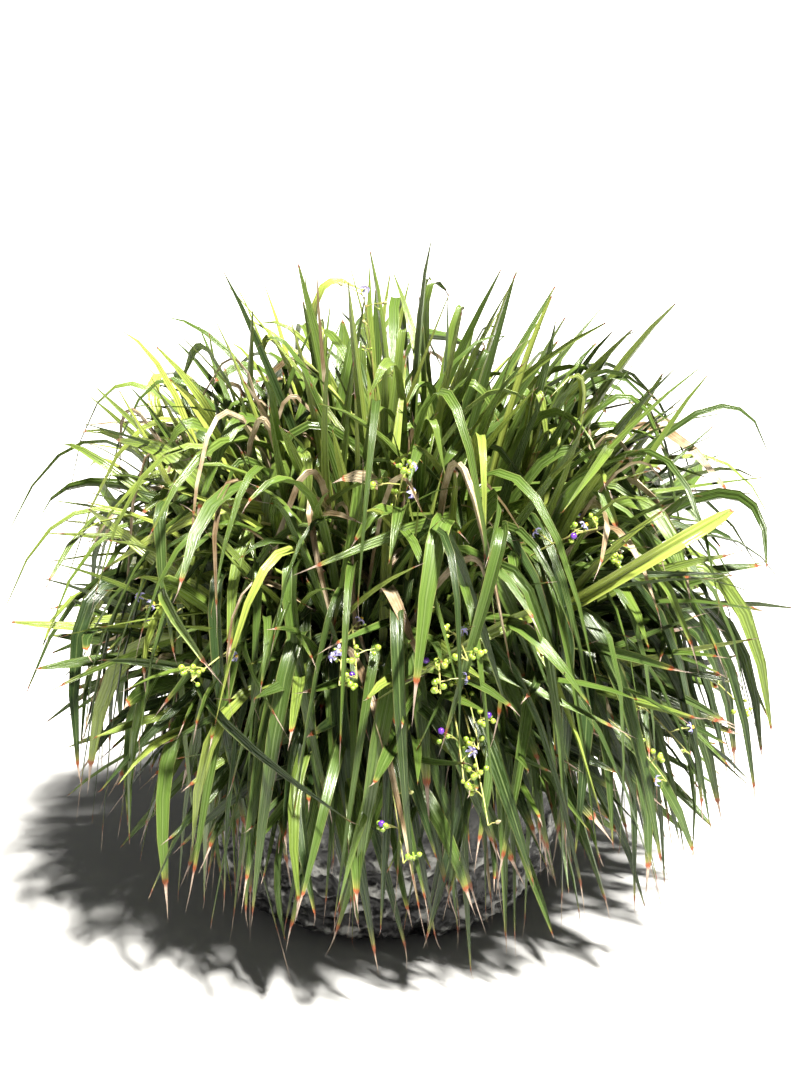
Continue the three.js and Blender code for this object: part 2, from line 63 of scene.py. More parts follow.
# Bowl
# A round bowl of rough cast stone, on a flat foot with three drain holes. Its wall is nearly
# smooth under the rim and painted dark there, painted shade from the leaves above it, and broken
# lower down into pits painted as painted shade and sharp edges painted pale as painted
# highlights.
BOWL = dict(height=0.250, foot=0.190, belly=0.258, rim=0.282, wall=0.019, floor=0.022, lip=0.006)
BELLY_SHARE = 0.2
DRAIN = dict(count=3, radius=0.008, ring=0.095, sides=24, turn=0.25)
BOWL_STEPS = 620
BOWL_ROWS = 104
ROWS_UP = 1.3
RELIEF = 0.012
ROUGH = dict(top=0.215, fade=0.09, least=0.10, foot=0.012, skin=0.004, lowest=0.002)
# The wall under the rim is painted darker than the broken wall, painted shade from the leaves;
# the pale crest colour is painted highlight and the darkest pit colour is painted shade.
STONE = dict(
    smooth=(0.007, 0.0075, 0.009), broken=(0.022, 0.022, 0.023), crest_highlight=(0.38, 0.38, 0.36),
    pit_shade=(0.003, 0.003, 0.003), stain=(0.008, 0.008, 0.009), grain=(0.16, 0.16, 0.15),
)


def bowl_radius(z):
    belly = BOWL["height"] * BELLY_SHARE
    if z < belly:
        share = 1 - z / belly
        return BOWL["foot"] + (BOWL["belly"] - BOWL["foot"]) * math.sqrt(1 - share * share)
    share = (z - belly) / (BOWL["height"] - belly)
    return BOWL["belly"] + (BOWL["rim"] - BOWL["belly"]) * math.sin(share * math.pi / 2)


def new_object(name, points, edges, faces):
    mesh = bpy.data.meshes.new(name)
    mesh.from_pydata(points, edges, faces)
    obj = bpy.data.objects.new(name, mesh)
    bpy.context.scene.collection.objects.link(obj)
    return obj


def pick(obj):
    bpy.ops.object.select_all(action="DESELECT")
    obj.select_set(True)
    bpy.context.view_layer.objects.active = obj


def edit(obj):
    pick(obj)
    bpy.ops.object.mode_set(mode="EDIT")


def leave_edit():
    bpy.ops.object.mode_set(mode="OBJECT")
    bpy.ops.object.select_all(action="DESELECT")


def spun(name, profile, steps):
    """A profile of (radius, height) points turned once round the upright axis."""
    edges = [(i, i + 1) for i in range(len(profile) - 1)]
    obj = new_object(name, [(r, 0, z) for r, z in profile], edges, [])
    edit(obj)
    bpy.ops.mesh.select_all(action="SELECT")
    bpy.ops.mesh.spin(steps=steps, angle=2 * math.pi, center=(0, 0, 0), axis=(0, 0, 1))
    bpy.ops.mesh.select_all(action="SELECT")
    bpy.ops.mesh.remove_doubles(threshold=1e-5)
    bpy.ops.mesh.normals_make_consistent(inside=False)
    leave_edit()
    return obj


def smoothed(obj, degrees):
    """Shades an object smooth, but for its edges that are sharper than an angle."""
    pick(obj)
    bpy.ops.object.shade_smooth_by_angle(angle=math.radians(degrees))
    obj.select_set(False)


def displaced(obj, texture, strength, middle, group):
    """Lifts the points of a vertex group along their normals by a texture."""
    step = obj.modifiers.new("relief", "DISPLACE")
    step.texture = texture
    step.texture_coords = "LOCAL"
    step.strength = strength
    step.mid_level = middle
    step.vertex_group = group
    bpy.context.view_layer.objects.active = obj
    bpy.ops.object.modifier_apply(modifier=step.name)


def relief_texture(name, kind, size, **settings):
    texture = bpy.data.textures.new(name, kind)
    texture.noise_scale = size
    for key, value in settings.items():
        setattr(texture, key, value)
    return texture


def outer_wall(rows):
    """Points up the outside of the bowl, from its foot to just under the rim."""
    top = BOWL["height"] - BOWL["lip"]
    heights = [top * (i / rows) ** ROWS_UP for i in range(rows + 1)]
    return [(bowl_radius(z), z) for z in heights]


inner = BOWL["rim"] - BOWL["wall"]
foot_rows = [(BOWL["foot"] * share, 0) for share in (0, 0.25, 0.5, 0.75)]
lip = [
    (BOWL["rim"] - 0.3 * BOWL["lip"], BOWL["height"] - 0.3 * BOWL["lip"]),
    (BOWL["rim"] - BOWL["lip"], BOWL["height"]),
    (inner + BOWL["lip"], BOWL["height"]),
    (inner + 0.3 * BOWL["lip"], BOWL["height"] - 0.3 * BOWL["lip"]),
    (inner, BOWL["height"] - BOWL["lip"]),
]
inside = [
    (bowl_radius(share * BOWL["height"]) - BOWL["wall"], share * BOWL["height"])
    for share in (0.8, 0.6, 0.3, 0.16)
]
bowl = spun(
    "stone_bowl",
    foot_rows + outer_wall(BOWL_ROWS) + lip + inside
    + [(BOWL["foot"] - BOWL["wall"], BOWL["floor"]), (0, BOWL["floor"])],
    BOWL_STEPS,
)
for i in range(DRAIN["count"]):
    angle = (i + DRAIN["turn"]) * 2 * math.pi / DRAIN["count"]
    bpy.ops.mesh.primitive_cylinder_add(
        vertices=DRAIN["sides"],
        radius=DRAIN["radius"],
        depth=3 * BOWL["floor"],
        location=(DRAIN["ring"] * math.cos(angle), DRAIN["ring"] * math.sin(angle), 0),
    )
    drill = bpy.context.object
    cut = bowl.modifiers.new("drain", "BOOLEAN")
    cut.operation = "DIFFERENCE"
    cut.object = drill
    bpy.context.view_layer.objects.active = bowl
    bpy.ops.object.modifier_apply(modifier=cut.name)
    bpy.data.objects.remove(drill)

rough = bowl.vertex_groups.new(name="rough")
for vertex in bowl.data.vertices:
    x, y, z = vertex.co
    if math.hypot(x, y) > bowl_radius(z) - ROUGH["skin"] and z > ROUGH["lowest"]:
        share = min(max((ROUGH["top"] - z) / ROUGH["fade"], ROUGH["least"]), 1.0)
        rough.add([vertex.index], share * min(z / ROUGH["foot"], 1.0), "REPLACE")
crags = relief_texture(
    "crags", "MUSGRAVE", 0.033, musgrave_type="RIDGED_MULTIFRACTAL", octaves=4.0,
    dimension_max=0.9, lacunarity=2.1, noise_basis="ORIGINAL_PERLIN",
)
lumps = relief_texture(
    "lumps", "CLOUDS", 0.024, noise_depth=1, noise_type="HARD_NOISE",
    noise_basis="VORONOI_CRACKLE",
)
displaced(bowl, crags, RELIEF, 1.1, "rough")
displaced(bowl, lumps, 0.5 * RELIEF, 0.8, "rough")
edit(bowl)
bpy.ops.object.vertex_group_set_active(group="rough")
bpy.ops.mesh.select_all(action="DESELECT")
bpy.ops.object.vertex_group_select()
bpy.ops.mesh.vertices_smooth(factor=0.5, repeat=2)
leave_edit()

# How deep each point lies in the relief, for the painted shade in the pits and the painted
# highlight on the crests
sunk = np.array([
    bowl_radius(min(max(v.co.z, 0), BOWL["height"])) - math.hypot(v.co.x, v.co.y)
    for v in bowl.data.vertices
])
layer = bowl.data.attributes.new("pit_shade", "FLOAT", "POINT")
layer.data.foreach_set("value", np.clip(sunk / RELIEF, 0, 1).astype(np.float32))
smoothed(bowl, 35)


def new_material(name):
    material = bpy.data.materials.new(name)
    material.use_nodes = True
    material.node_tree.nodes.clear()
    return material


class Nodes:
    """Adds nodes to one material and joins them up."""

    def __init__(self, material):
        self.tree = material.node_tree

    def add(self, kind, inputs=None, **settings):
        node = self.tree.nodes.new(kind)
        for key, value in settings.items():
            setattr(node, key, value)
        for key, value in (inputs or {}).items():
            if isinstance(value, bpy.types.NodeSocket):
                self.tree.links.new(value, node.inputs[key])
            else:
                node.inputs[key].default_value = value
        return node

    def math(self, operation, a, b=0.0):
        return self.add("ShaderNodeMath", {0: a, 1: b}, operation=operation).outputs[0]

    def part(self, value, share):
        return self.math("MULTIPLY", value, share)

    def steps(self, value, low, high, to_low=0.0, to_high=1.0):
        """A smooth step of a value from low to high, which runs down where low is higher."""
        ends = {"From Min": low, "From Max": high, "To Min": to_low, "To Max": to_high}
        node = self.add(
            "ShaderNodeMapRange", {"Value": value, **ends}, interpolation_type="SMOOTHSTEP"
        )
        return node.outputs["Result"]

    def noise(self, vector, scale, detail=4.0, rough=0.5):
        node = self.add(
            "ShaderNodeTexNoise",
            {"Vector": vector, "Scale": scale, "Detail": detail, "Roughness": rough},
        )
        return node.outputs["Fac"]

    def mix(self, share, a, b):
        """Colour a, and the share of it that colour b takes the place of."""
        node = self.add("ShaderNodeMix", data_type="RGBA")
        for key, value in ((0, share), (6, a), (7, b)):
            if isinstance(value, bpy.types.NodeSocket):
                self.tree.links.new(value, node.inputs[key])
            else:
                node.inputs[key].default_value = (*value, 1) if key else value
        return node.outputs[2]

    def bump(self, height, distance):
        inputs = {"Height": height, "Distance": distance, "Strength": 1.0}
        return self.add("ShaderNodeBump", inputs).outputs["Normal"]

    def place(self):
        return self.add("ShaderNodeTexCoord").outputs["Object"]

    def lit_through(self, share, surface, glow):
        """A surface that lets a share of the light through, as a leaf or a petal does."""
        return self.add("ShaderNodeMixShader", {0: share, 1: surface, 2: glow}).outputs[0]

    def surface(self, base, roughness, normal):
        inputs = {"Base Color": base, "Roughness": roughness, "Normal": normal}
        return self.add("ShaderNodeBsdfPrincipled", inputs)

    def finish(self, shader):
        self.add("ShaderNodeOutputMaterial", {"Surface": shader})


stone = new_material("rough_grey_stone")
n = Nodes(stone)
place = n.place()
height_up = n.add("ShaderNodeSeparateXYZ", {0: place}).outputs["Z"]
pitted = n.steps(height_up, 0.225, 0.13)
patches = n.noise(place, 34.0, 3.0, 0.5)
grain = n.noise(place, 300.0, 6.0, 0.65)
stain = n.noise(place, 14.0, 6.0, 0.7)
pit_shade = n.add("ShaderNodeAttribute", attribute_name="pit_shade").outputs["Fac"]
# Painted shade: the wall under the rim is painted darker than the broken wall lower down
base = n.mix(n.steps(height_up, 0.215, 0.14), STONE["smooth"], STONE["broken"])
# Painted highlight: the crests of the relief, in patches, are painted pale where the wall is
# broken
crest_highlight = n.part(n.steps(pit_shade, 0.32, 0.0), n.steps(patches, 0.47, 0.60))
base = n.mix(n.part(crest_highlight, pitted), base, STONE["crest_highlight"])
# Painted shade: the deeper a point lies in the relief, the darker it is painted
base = n.mix(n.part(n.steps(pit_shade, 0.22, 0.80), 0.92), base, STONE["pit_shade"])
base = n.mix(n.part(n.steps(stain, 0.46, 0.66), 0.65), base, STONE["stain"])
base = n.mix(n.part(n.steps(grain, 0.5, 0.8), 0.1), base, STONE["grain"])
relief = n.math("ADD", n.part(patches, pitted), n.part(grain, 0.06))
n.finish(n.surface(base, 0.42, n.bump(relief, 0.014)).outputs[0])
bowl.data.materials.clear()
bowl.data.materials.append(stone)
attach(bowl, "root")
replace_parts(bowl, "bowl")


# Soil
# Dark potting soil that fills the bowl and is a little higher in the middle, with a mulch of
# bark chips lying on it.
SOIL = dict(edge=0.221, middle=0.229, gap=0.0016, slack=0.0012, off_floor=0.0004, crumbs=0.012)
SOIL_STEPS = 96
SOIL_ROWS = 40
CHIP = dict(
    count=420, length=(0.010, 0.030), width=(0.006, 0.014), height=(0.002, 0.005),
    turn=6.28, tilt=0.3, lift=0.003, margin=0.02,
)
EARTH = dict(dark=(0.016, 0.011, 0.007), pale=(0.085, 0.058, 0.036), patch=(0.05, 0.032, 0.02))
BARK = dict(dark=(0.055, 0.030, 0.016), pale=(0.23, 0.15, 0.09), fibre=(0.32, 0.24, 0.16))


def soil_height(radius):
    share = min(radius / BOWL["rim"], 1)
    return SOIL["middle"] + (SOIL["edge"] - SOIL["middle"]) * share * share


inside_wall = BOWL["wall"] + SOIL["gap"]
soil_edge = bowl_radius(SOIL["edge"]) - inside_wall
soil_floor = BOWL["floor"] + SOIL["off_floor"]
soil_sides = [
    (bowl_radius(share * BOWL["height"]) - inside_wall - SOIL["slack"], share * BOWL["height"])
    for share in (0.18, 0.3, 0.6)
]
soil_rings = [soil_edge * (1 - i / SOIL_ROWS) for i in range(SOIL_ROWS + 1)]
soil = spun(
    "potting_soil",
    [(0, soil_floor), (BOWL["foot"] - inside_wall, soil_floor)]
    + soil_sides + [(radius, soil_height(radius)) for radius in soil_rings],
    SOIL_STEPS,
)
loose_top = soil.vertex_groups.new(name="top")
loose_top.add([v.index for v in soil.data.vertices if v.co.z > 0.2], 1.0, "REPLACE")
displaced(soil, relief_texture("crumbs", "CLOUDS", 0.03), SOIL["crumbs"], 0.5, "top")
soil.select_set(True)
bpy.ops.object.shade_smooth()

# One bark chip, modelled once: a cube with broken edges
bpy.ops.object.select_all(action="DESELECT")
bpy.ops.mesh.primitive_cube_add(size=1)
chip = bpy.context.object
bpy.ops.object.mode_set(mode="EDIT")
bpy.ops.mesh.bevel(offset=0.22, segments=1)
bpy.ops.mesh.select_all(action="SELECT")
bpy.ops.transform.vertex_random(offset=0.09, seed=4)
leave_edit()
chip_points = np.array([v.co for v in chip.data.vertices])
chip_faces = [tuple(p.vertices) for p in chip.data.polygons]
bpy.data.objects.remove(chip)


def stacked(name, clusters, faces):
    """One mesh of many copies of a shape: its points in each place, and its faces."""
    verts = np.concatenate(clusters)
    per = len(clusters[0])
    all_faces = [tuple(i + k * per for i in f) for k in range(len(clusters)) for f in faces]
    return new_object(name, verts.tolist(), [], all_faces)


def turn_to(angle, tilt):
    """The turn of a shape by an angle round the upright axis, and its tilt."""
    c, s = math.cos(angle), math.sin(angle)
    flat = np.array([[c, s, 0], [-s, c, 0], [0, 0, 1]])
    c, s = math.cos(tilt), math.sin(tilt)
    return np.array([[1, 0, 0], [0, c, s], [0, -s, c]]) @ flat


chance = np.random.default_rng(11)
clusters = []
for _ in range(CHIP["count"]):
    out = (soil_edge - CHIP["margin"]) * math.sqrt(chance.uniform(0, 1))
    angle = chance.uniform(0, 2 * math.pi)
    size = np.array([chance.uniform(*CHIP[side]) for side in ("length", "width", "height")])
    lies_at = (out * math.cos(angle), out * math.sin(angle), soil_height(out) + CHIP["lift"])
    turn = turn_to(chance.uniform(0, CHIP["turn"]), chance.uniform(-CHIP["tilt"], CHIP["tilt"]))
    clusters.append((chip_points * size) @ turn + np.array(lies_at))
mulch = stacked("bark_mulch", clusters, chip_faces)

earth = new_material("potting_soil")
n = Nodes(earth)
place = n.place()
crumbs = n.noise(place, 160.0, 8.0, 0.7)
patch = n.noise(place, 30.0, 4.0)
base = n.mix(n.steps(crumbs, 0.3, 0.75), EARTH["dark"], EARTH["pale"])
base = n.mix(n.steps(patch, 0.45, 0.75), base, EARTH["patch"])
n.finish(n.surface(base, 0.95, n.bump(crumbs, 0.006)).outputs[0])
soil.data.materials.clear()
soil.data.materials.append(earth)
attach(soil, "root")
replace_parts(soil, "soil")

bark = new_material("bark_chips")
n = Nodes(bark)
place = n.place()
piece_tone = n.noise(place, 38.0, 2.0)
drawn_out = n.add("ShaderNodeMapping", {"Vector": place, "Scale": (1, 5, 1)}).outputs[0]
fibre = n.noise(drawn_out, 150.0, 6.0, 0.65)
base = n.mix(n.steps(piece_tone, 0.35, 0.65), BARK["dark"], BARK["pale"])
base = n.mix(n.steps(fibre, 0.4, 0.8), base, BARK["fibre"])
n.finish(n.surface(base, 0.88, n.bump(fibre, 0.002)).outputs[0])
mulch.data.materials.append(bark)
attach(mulch, "root")


# Leafy shoots
# Each shoot is a flat bundle of leaf bases that stands in the soil, and keeled, strap-shaped
# leaves that grow from it and arch over. They grow here by the rule that the solid shoots
# grew by, and between them come more of the same, because the plant is denser than its solids.
SHOOTS = 38
SHOOT_RING = 0.196
RING_POWER = 0.43
BURIED = 0.026
CANE = dict(middle=0.360, edge=0.225, lean=50, broad=0.010, thin=0.007, top=0.6, knee=0.42)
CANE_FOOT = 0.010
LEAF = dict(half=0.0092, widest=0.38, taper=0.45, power=1.7, shortest=0.14, longest=0.70)
FULL_LEAF = dict(taper=0.6, power=2.4)
LEAF_THICK = 0.0005
LEAF_SPREAD = dict(half=(0.78, 1.22), slimmer=0.25, roll=(-0.35, 0.35), twist=(-0.5, 0.5))
LEAF_LEVEL = dict(low_tip=0.05, tips=0.7, low=0.06, low_gain=0.3, high=0.62, high_gain=0.35)
AIM = dict(loose=0.004, looser=0.08, found=0.0006)
ROOT = dict(half=0.42, inset=0.2)
KNEE = dict(near=0.50, far=0.85, swerve=0.25, lift=0.025, climb_low=0.62, climb_high=0.9)
STEEP = dict(low=1.3, high=3.8, full=-0.045, none=0.380)
CROWN = dict(reach=0.560, depth=0.92, top=0.545, centre=0.450, shift=0.030)
SKIRT_RISE = 0.440
SEED_STEP = 300
TRIES = 160
GOLDEN_ANGLE = math.radians(137.508)
LONG_SEED = 300
LONG_LEAVES = [
    (70, -20, 1010), (195, 0, 985), (-120, 30, 985), (-235, 0, 965), (250, -60, 920),
    (365, -30, 890), (435, 20, 915), (-325, -40, 870), (-425, 0, 800), (-320, -150, 850),
    (-485, 40, 680), (-570, 0, 535), (-565, -80, 450), (-550, -60, 290), (-460, -120, 245),
    (575, 0, 670), (600, 40, 555), (600, -40, 480), (590, -80, 210), (530, -150, 355),
    (-370, -130, 85), (-270, -200, 45), (-40, -335, 45), (155, -310, 70), (210, -330, 60),
    (410, -265, 55), (560, -220, 40), (-295, -260, 700), (-190, -330, 630), (355, -330, 370),
]
UPRIGHT = dict(leaves=84, start=0, end=58, deepest=0.4, seed=400)
ARCHING = dict(leaves=250, start=48, end=128, deepest=0.3, seed=600)
SKIRT = dict(leaves=112, near=0.325, far=0.570, low=0.040, high=0.280, shift=0.050, seed=1500)
BOWL_GAP = 0.006
FLOOR_GAP = 0.012


def seeded(seed):
    """The same row of numbers for the same seed, as the solid shoots were grown with."""
    state = (seed * 7919 + 104729) % 2147483647

    def draw(low=0.0, high=1.0):
        nonlocal state
        state = state * 48271 % 2147483647
        return low + (high - low) * (state / 2147483647)

    for _ in range(3):
        draw()
    return draw


def heading(azimuth, elevation=0.0):
    flat = math.cos(elevation)
    return np.array([math.cos(azimuth) * flat, math.sin(azimuth) * flat, math.sin(elevation)])


def unit(vector):
    return vector / np.linalg.norm(vector)


def between(low, high, share):
    return low + (high - low) * share


def clamp(value, low, high):
    return min(max(value, low), high)


def on_curve(curve, t):
    a, b, c = curve
    return a * (1 - t) ** 2 + 2 * b * t * (1 - t) + c * t * t


def course(curve, t):
    a, b, c = curve
    return (b - a) * (1 - t) + (c - b) * t


class Cane:
    """One shoot's bundle of leaf bases: its curve, its broad side and its leaves."""

    def __init__(self, i):
        draw = seeded(i + 1)
        ring = ((i + 0.5) / SHOOTS) ** RING_POWER
        azimuth = i * GOLDEN_ANGLE + draw(-0.12, 0.12)
        self.foot = heading(azimuth) * SHOOT_RING * ring
        self.foot[2] = soil_height(SHOOT_RING * ring) - BURIED
        length = between(CANE["middle"], CANE["edge"], ring) * draw(0.86, 1.12)
        lean = math.radians(CANE["lean"] * ring ** 1.4 + draw(0, 7))
        self.side = heading(azimuth + draw(-1.2, 1.2))
        neck = self.foot + (0, 0, BURIED + CANE_FOOT)
        knee = neck + (0, 0, length * CANE["knee"])
        lead = heading(azimuth + draw(-0.25, 0.25), math.pi / 2 - lean)
        self.curve = (neck, knee, knee + lead * length * (1 - CANE["knee"]))
        self.leaves = []

    def size(self, level):
        return 1 - (1 - CANE["top"]) * level

    def root(self, level, out):
        """The point under the cane's skin, on the side that a leaf leaves it by."""
        other = unit(np.cross(course(self.curve, level), self.side))
        inset = self.size(level) * ROOT["inset"]
        at = on_curve(self.curve, level)
        at = at + self.side * np.sign(out @ self.side) * CANE["broad"] * inset
        return at + other * np.sign(out @ other) * CANE["thin"] * inset

    def root_half(self, level):
        return ROOT["half"] * math.hypot(CANE["broad"], CANE["thin"]) * self.size(level)


def leaf_length(curve):
    a, b, c = curve
    return (np.linalg.norm(b - a) + np.linalg.norm(c - b) + 2 * np.linalg.norm(c - a)) / 3


def crown_tip(band, i):
    """Where a leaf of a band ends, on the crown's dome or at some depth under it."""
    draw = seeded(band["seed"] + SEED_STEP + i)
    start, end = math.cos(math.radians(band["start"])), math.cos(math.radians(band["end"]))
    cosine = start - ((i + 0.5) / band["leaves"]) * (start - end)
    flat = math.sqrt(1 - cosine * cosine)
    depth = band.get("outer", 1.0) - band["deepest"] * draw() ** 1.3
    tip = heading(i * GOLDEN_ANGLE) * flat * CROWN["reach"] * depth
    height = CROWN["centre"] + cosine * CROWN["top"] * depth
    return np.array([tip[0] + CROWN["shift"], tip[1] * CROWN["depth"], height])


def skirt_tip(band, i):
    """Where a leaf of a band ends that hangs down round the bowl."""
    draw = seeded(band["seed"] + SEED_STEP + i)
    out = draw(band["near"], band["far"])
    low = band["low"] + max(out - SKIRT_RISE, 0)
    azimuth = i * GOLDEN_ANGLE
    if "from_angle" in band:
        azimuth = math.radians(draw(band["from_angle"], band["to_angle"]))
    tip = heading(azimuth) * out
    return np.array([tip[0] + band["shift"], tip[1] * CROWN["depth"], draw(low, band["high"])])


def shoot_name(i):
    return f"shoot_{i + 1:02d}"


canes = [Cane(i) for i in range(SHOOTS)]

# The solid shoots' own leaves are those drawn leaves whose tips their meshes hold
cad_points = [
    (i, v.co.copy())
    for i in range(SHOOTS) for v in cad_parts[shoot_name(i)].data.vertices
]
tree = kdtree.KDTree(len(cad_points))
for index, (_, point) in enumerate(cad_points):
    tree.insert(point, index)
tree.balance()


def grown_leaf(wish, seed):
    """A solid shoot's leaf, grown again by the rule and the draws that it was grown by."""
    draw = seeded(seed)
    for attempt in range(TRIES):
        effort = attempt / TRIES
        u = [draw() for _ in range(11)]
        loose = AIM["loose"] + AIM["looser"] * effort
        tip = np.array([w + between(-loose, loose, share) for w, share in zip(wish, u[1:4])])
        _, index, gap = tree.find(tip)
        if gap < AIM["found"]:
            break
    else:
        return
    cane = canes[cad_points[index][0]]
    high = clamp((wish[2] - LEAF_LEVEL["low_tip"]) / LEAF_LEVEL["tips"], 0, 1)
    lowest = LEAF_LEVEL["low"] + LEAF_LEVEL["low_gain"] * high
    level = between(lowest, LEAF_LEVEL["high"] + LEAF_LEVEL["high_gain"] * high, u[0])
    root = on_curve(cane.curve, level)
    reach = math.hypot(tip[0] - root[0], tip[1] - root[1])
    azimuth = math.atan2(tip[1] - root[1], tip[0] - root[0])
    root = cane.root(level, heading(azimuth))
    rise = tip[2] - root[2]
    share = between(KNEE["near"], KNEE["far"], u[4])
    swerve = between(-KNEE["swerve"], KNEE["swerve"], u[5])
    knee = root + heading(azimuth) * reach * share
    knee = knee + heading(azimuth + math.pi / 2) * reach * swerve
    steep = between(STEEP["low"], STEEP["high"], u[6])
    steep *= clamp((STEEP["none"] - rise) / (STEEP["none"] - STEEP["full"]), 0, 1)
    climb = max(rise, 0) * between(KNEE["climb_low"], KNEE["climb_high"], u[7])
    knee[2] += max(climb, KNEE["lift"]) + reach * share * steep
    wide = between(*LEAF_SPREAD["half"], u[8])
    cane.leaves.append(dict(
        curve=(root, knee, tip),
        half=LEAF["half"] * wide * (1 - LEAF_SPREAD["slimmer"] * effort),
        root_half=cane.root_half(level),
        roll=between(*LEAF_SPREAD["roll"], u[9]),
        twist=between(*LEAF_SPREAD["twist"], u[10]),
        dead=False,
        full=False,
    ))


for i, tip in enumerate(LONG_LEAVES):
    grown_leaf(np.array(tip) / 1000, LONG_SEED + i)
for band, tip_of in ((UPRIGHT, crown_tip), (SKIRT, skirt_tip), (ARCHING, crown_tip)):
    for i in range(band["leaves"]):
        grown_leaf(tip_of(band, i), band["seed"] + i)


def is_clear_of_bowl(points):
    """Whether a leaf keeps off the floor, and outside the bowl's wall where it hangs."""
    out = np.hypot(points[:, 0], points[:, 1])
    low = points[:, 2] < FLOOR_GAP
    beside = points[:, 2] < BOWL["height"] + BOWL_GAP
    wall = np.array([bowl_radius(clamp(z, 0, BOWL["height"])) for z in points[:, 2]])
    return not np.any(low | (beside & (out < wall + BOWL_GAP)))


def is_clear_of_flowers(points):
    """Whether a leaf leaves open the way from each flower head out to the light."""
    return all(
        np.min(np.linalg.norm(points[:, None, :] - sight[None, :, :], axis=2)) > FLOWER_GAP
        for sight in flower_sights
    )


def dome_height(x, y):
    """How high the crown's dome is over a place."""
    out = math.hypot(x - CROWN["shift"], y / CROWN["depth"]) / CROWN["reach"]
    return CROWN["centre"] + CROWN["top"] * math.sqrt(max(1 - out * out, 0.0))


# The leaves between, in bands. Each band says where its tips lie, how far in its canes stand,
# at what level of the cane its leaves start, at what share of their reach they bend and how
# far they swerve there, and whether they climb straight to their tips or arch up and over.
MORE = dict(
    tries=60, crowded=0.005, choice=(0.3, 2.0), loose=(-0.02, 0.02), over=0.6,
    least_room=0.01, roll=(-0.6, 0.6), twist=(-1.2, 1.2),
)
NO_ARCH = (0, 0)
TESTED = np.linspace(0.2, 1, 14)


def more_leaf(band, wish, seed):
    """One more leaf of a band, from a cane on about its own side of the plant."""
    draw = seeded(seed)
    for _ in range(MORE["tries"]):
        inward = draw(*band["inward"])
        cane = min(canes, key=lambda c: (
            math.hypot(*(c.curve[2][:2] - wish[:2] * inward)) + MORE["crowded"] * len(c.leaves)
        ) * draw(*MORE["choice"]))
        tip = wish + [draw(*MORE["loose"]) for _ in range(3)]
        level = draw(*band["level"])
        out = unit((tip - on_curve(cane.curve, level)) * (1, 1, 0))
        root = cane.root(level, out)
        reach = math.hypot(*(tip - root)[:2])
        knee = root + out * reach * draw(*band["share"])
        knee += np.array([-out[1], out[0], 0]) * draw(-band["swerve"], band["swerve"])
        high = max(root[2], tip[2])
        room = dome_height(*between(root, knee, MORE["over"])[:2]) - high
        apex = high + max(room, MORE["least_room"]) * draw(*band.get("arch", NO_ARCH))
        knee[2] = apex + math.sqrt((apex - root[2]) * (apex - tip[2]))
        if "climb" in band:
            knee[2] = between(root[2], tip[2], draw(*band["climb"])) + reach * draw(*band["lift"])
        curve = (root, knee, tip)
        path = np.array([on_curve(curve, t) for t in TESTED])
        fits = LEAF["shortest"] < leaf_length(curve) < LEAF["longest"]
        if fits and is_clear_of_bowl(path) and is_clear_of_flowers(path):
            cane.leaves.append(dict(
                curve=curve, half=draw(*band["half"]), root_half=cane.root_half(level),
                roll=draw(*MORE["roll"]), twist=draw(*MORE["twist"]), dead=band is DEAD,
                full=band not in (FAN, RAYS),
            ))
            return


# The leaves between leave the flowers and fruit in sight, so the stalks are set out here
# first. Each has its foot, its head and the height of its arch, all in millimetres, and
# the number of its berries, flowers and buds. The sprays have a head only.
STALK_ENDS = [
    ((-120, -62), (-330, -250, 470), 300, 3, 2, 2),
    ((12, -22), (-30, -100, 945), 40, 0, 1, 6),
    ((38, -78), (75, -330, 560), 330, 2, 3, 2),
    ((76, -140), (130, -415, 395), 270, 4, 1, 1),
    ((142, -34), (330, -230, 600), 260, 4, 1, 2),
    ((160, 20), (530, -120, 330), 330, 5, 0, 1),
    ((-30, -150), (-55, -400, 480), 260, 1, 3, 2),
    ((30, 130), (60, 360, 640), 300, 3, 2, 3),
]
SPRAY_HEADS = [
    (-330, -255, 535), (-255, -360, 470), (-30, -475, 520), (112, -475, 545), (77, -488, 505),
    (108, -500, 385), (140, -500, 325), (30, -500, 270), (285, -345, 680), (390, -355, 320),
    (425, -320, 345), (30, -410, 775), (-420, 250, 480), (400, 320, 420), (-120, 470, 380),
]
FLOWER_GAP = 0.024
SIGHT_LENGTH = 0.20
SIGHT_FROM = (0, 0, 0.25)
heads = np.array([end[1] for end in STALK_ENDS] + SPRAY_HEADS) / 1000
flower_sights = [
    head + np.linspace(0, SIGHT_LENGTH, 8)[:, None] * unit(head - SIGHT_FROM) for head in heads
]
FAN = dict(
    leaves=175, start=0, end=66, deepest=0.5, outer=1.03, seed=20000, inward=(0.0, 0.6),
    level=(0.3, 1.0), share=(0.2, 0.6), swerve=0.05, climb=(0.5, 0.9),
    lift=(0, 0.05), half=(0.005, 0.0095),
)
RAYS = dict(
    leaves=175, start=40, end=88, deepest=0.35, outer=1.09, seed=20500, inward=(0.0, 0.75),
    level=(0.4, 1.0), share=(0.35, 0.65), swerve=0.05, climb=(0.5, 0.9),
    lift=(0, 0.16), half=(0.0055, 0.0105),
)
SPREADING = dict(
    leaves=270, start=82, end=132, deepest=0.30, outer=1.06, seed=20900, inward=(0.2, 0.8),
    level=(0.3, 1.0), share=(0.35, 0.7), swerve=0.08, climb=(0.3, 0.75),
    lift=(0, 0.24), half=(0.0065, 0.0115),
)
BENT = dict(
    leaves=130, start=20, end=90, deepest=0.5, outer=0.88, seed=21000, inward=(0.0, 0.6),
    level=(0.2, 1.0), share=(0.5, 0.9), swerve=0.14, arch=(0.0, 0.25), half=(0.007, 0.012),
)
FOUNTAIN = dict(
    leaves=165, start=80, end=124, deepest=0.5, outer=0.95, seed=22000, inward=(-0.1, 0.6),
    level=(0.2, 1.0), share=(0.45, 0.9), swerve=0.18, arch=(0.05, 0.7), half=(0.009, 0.0145),
)
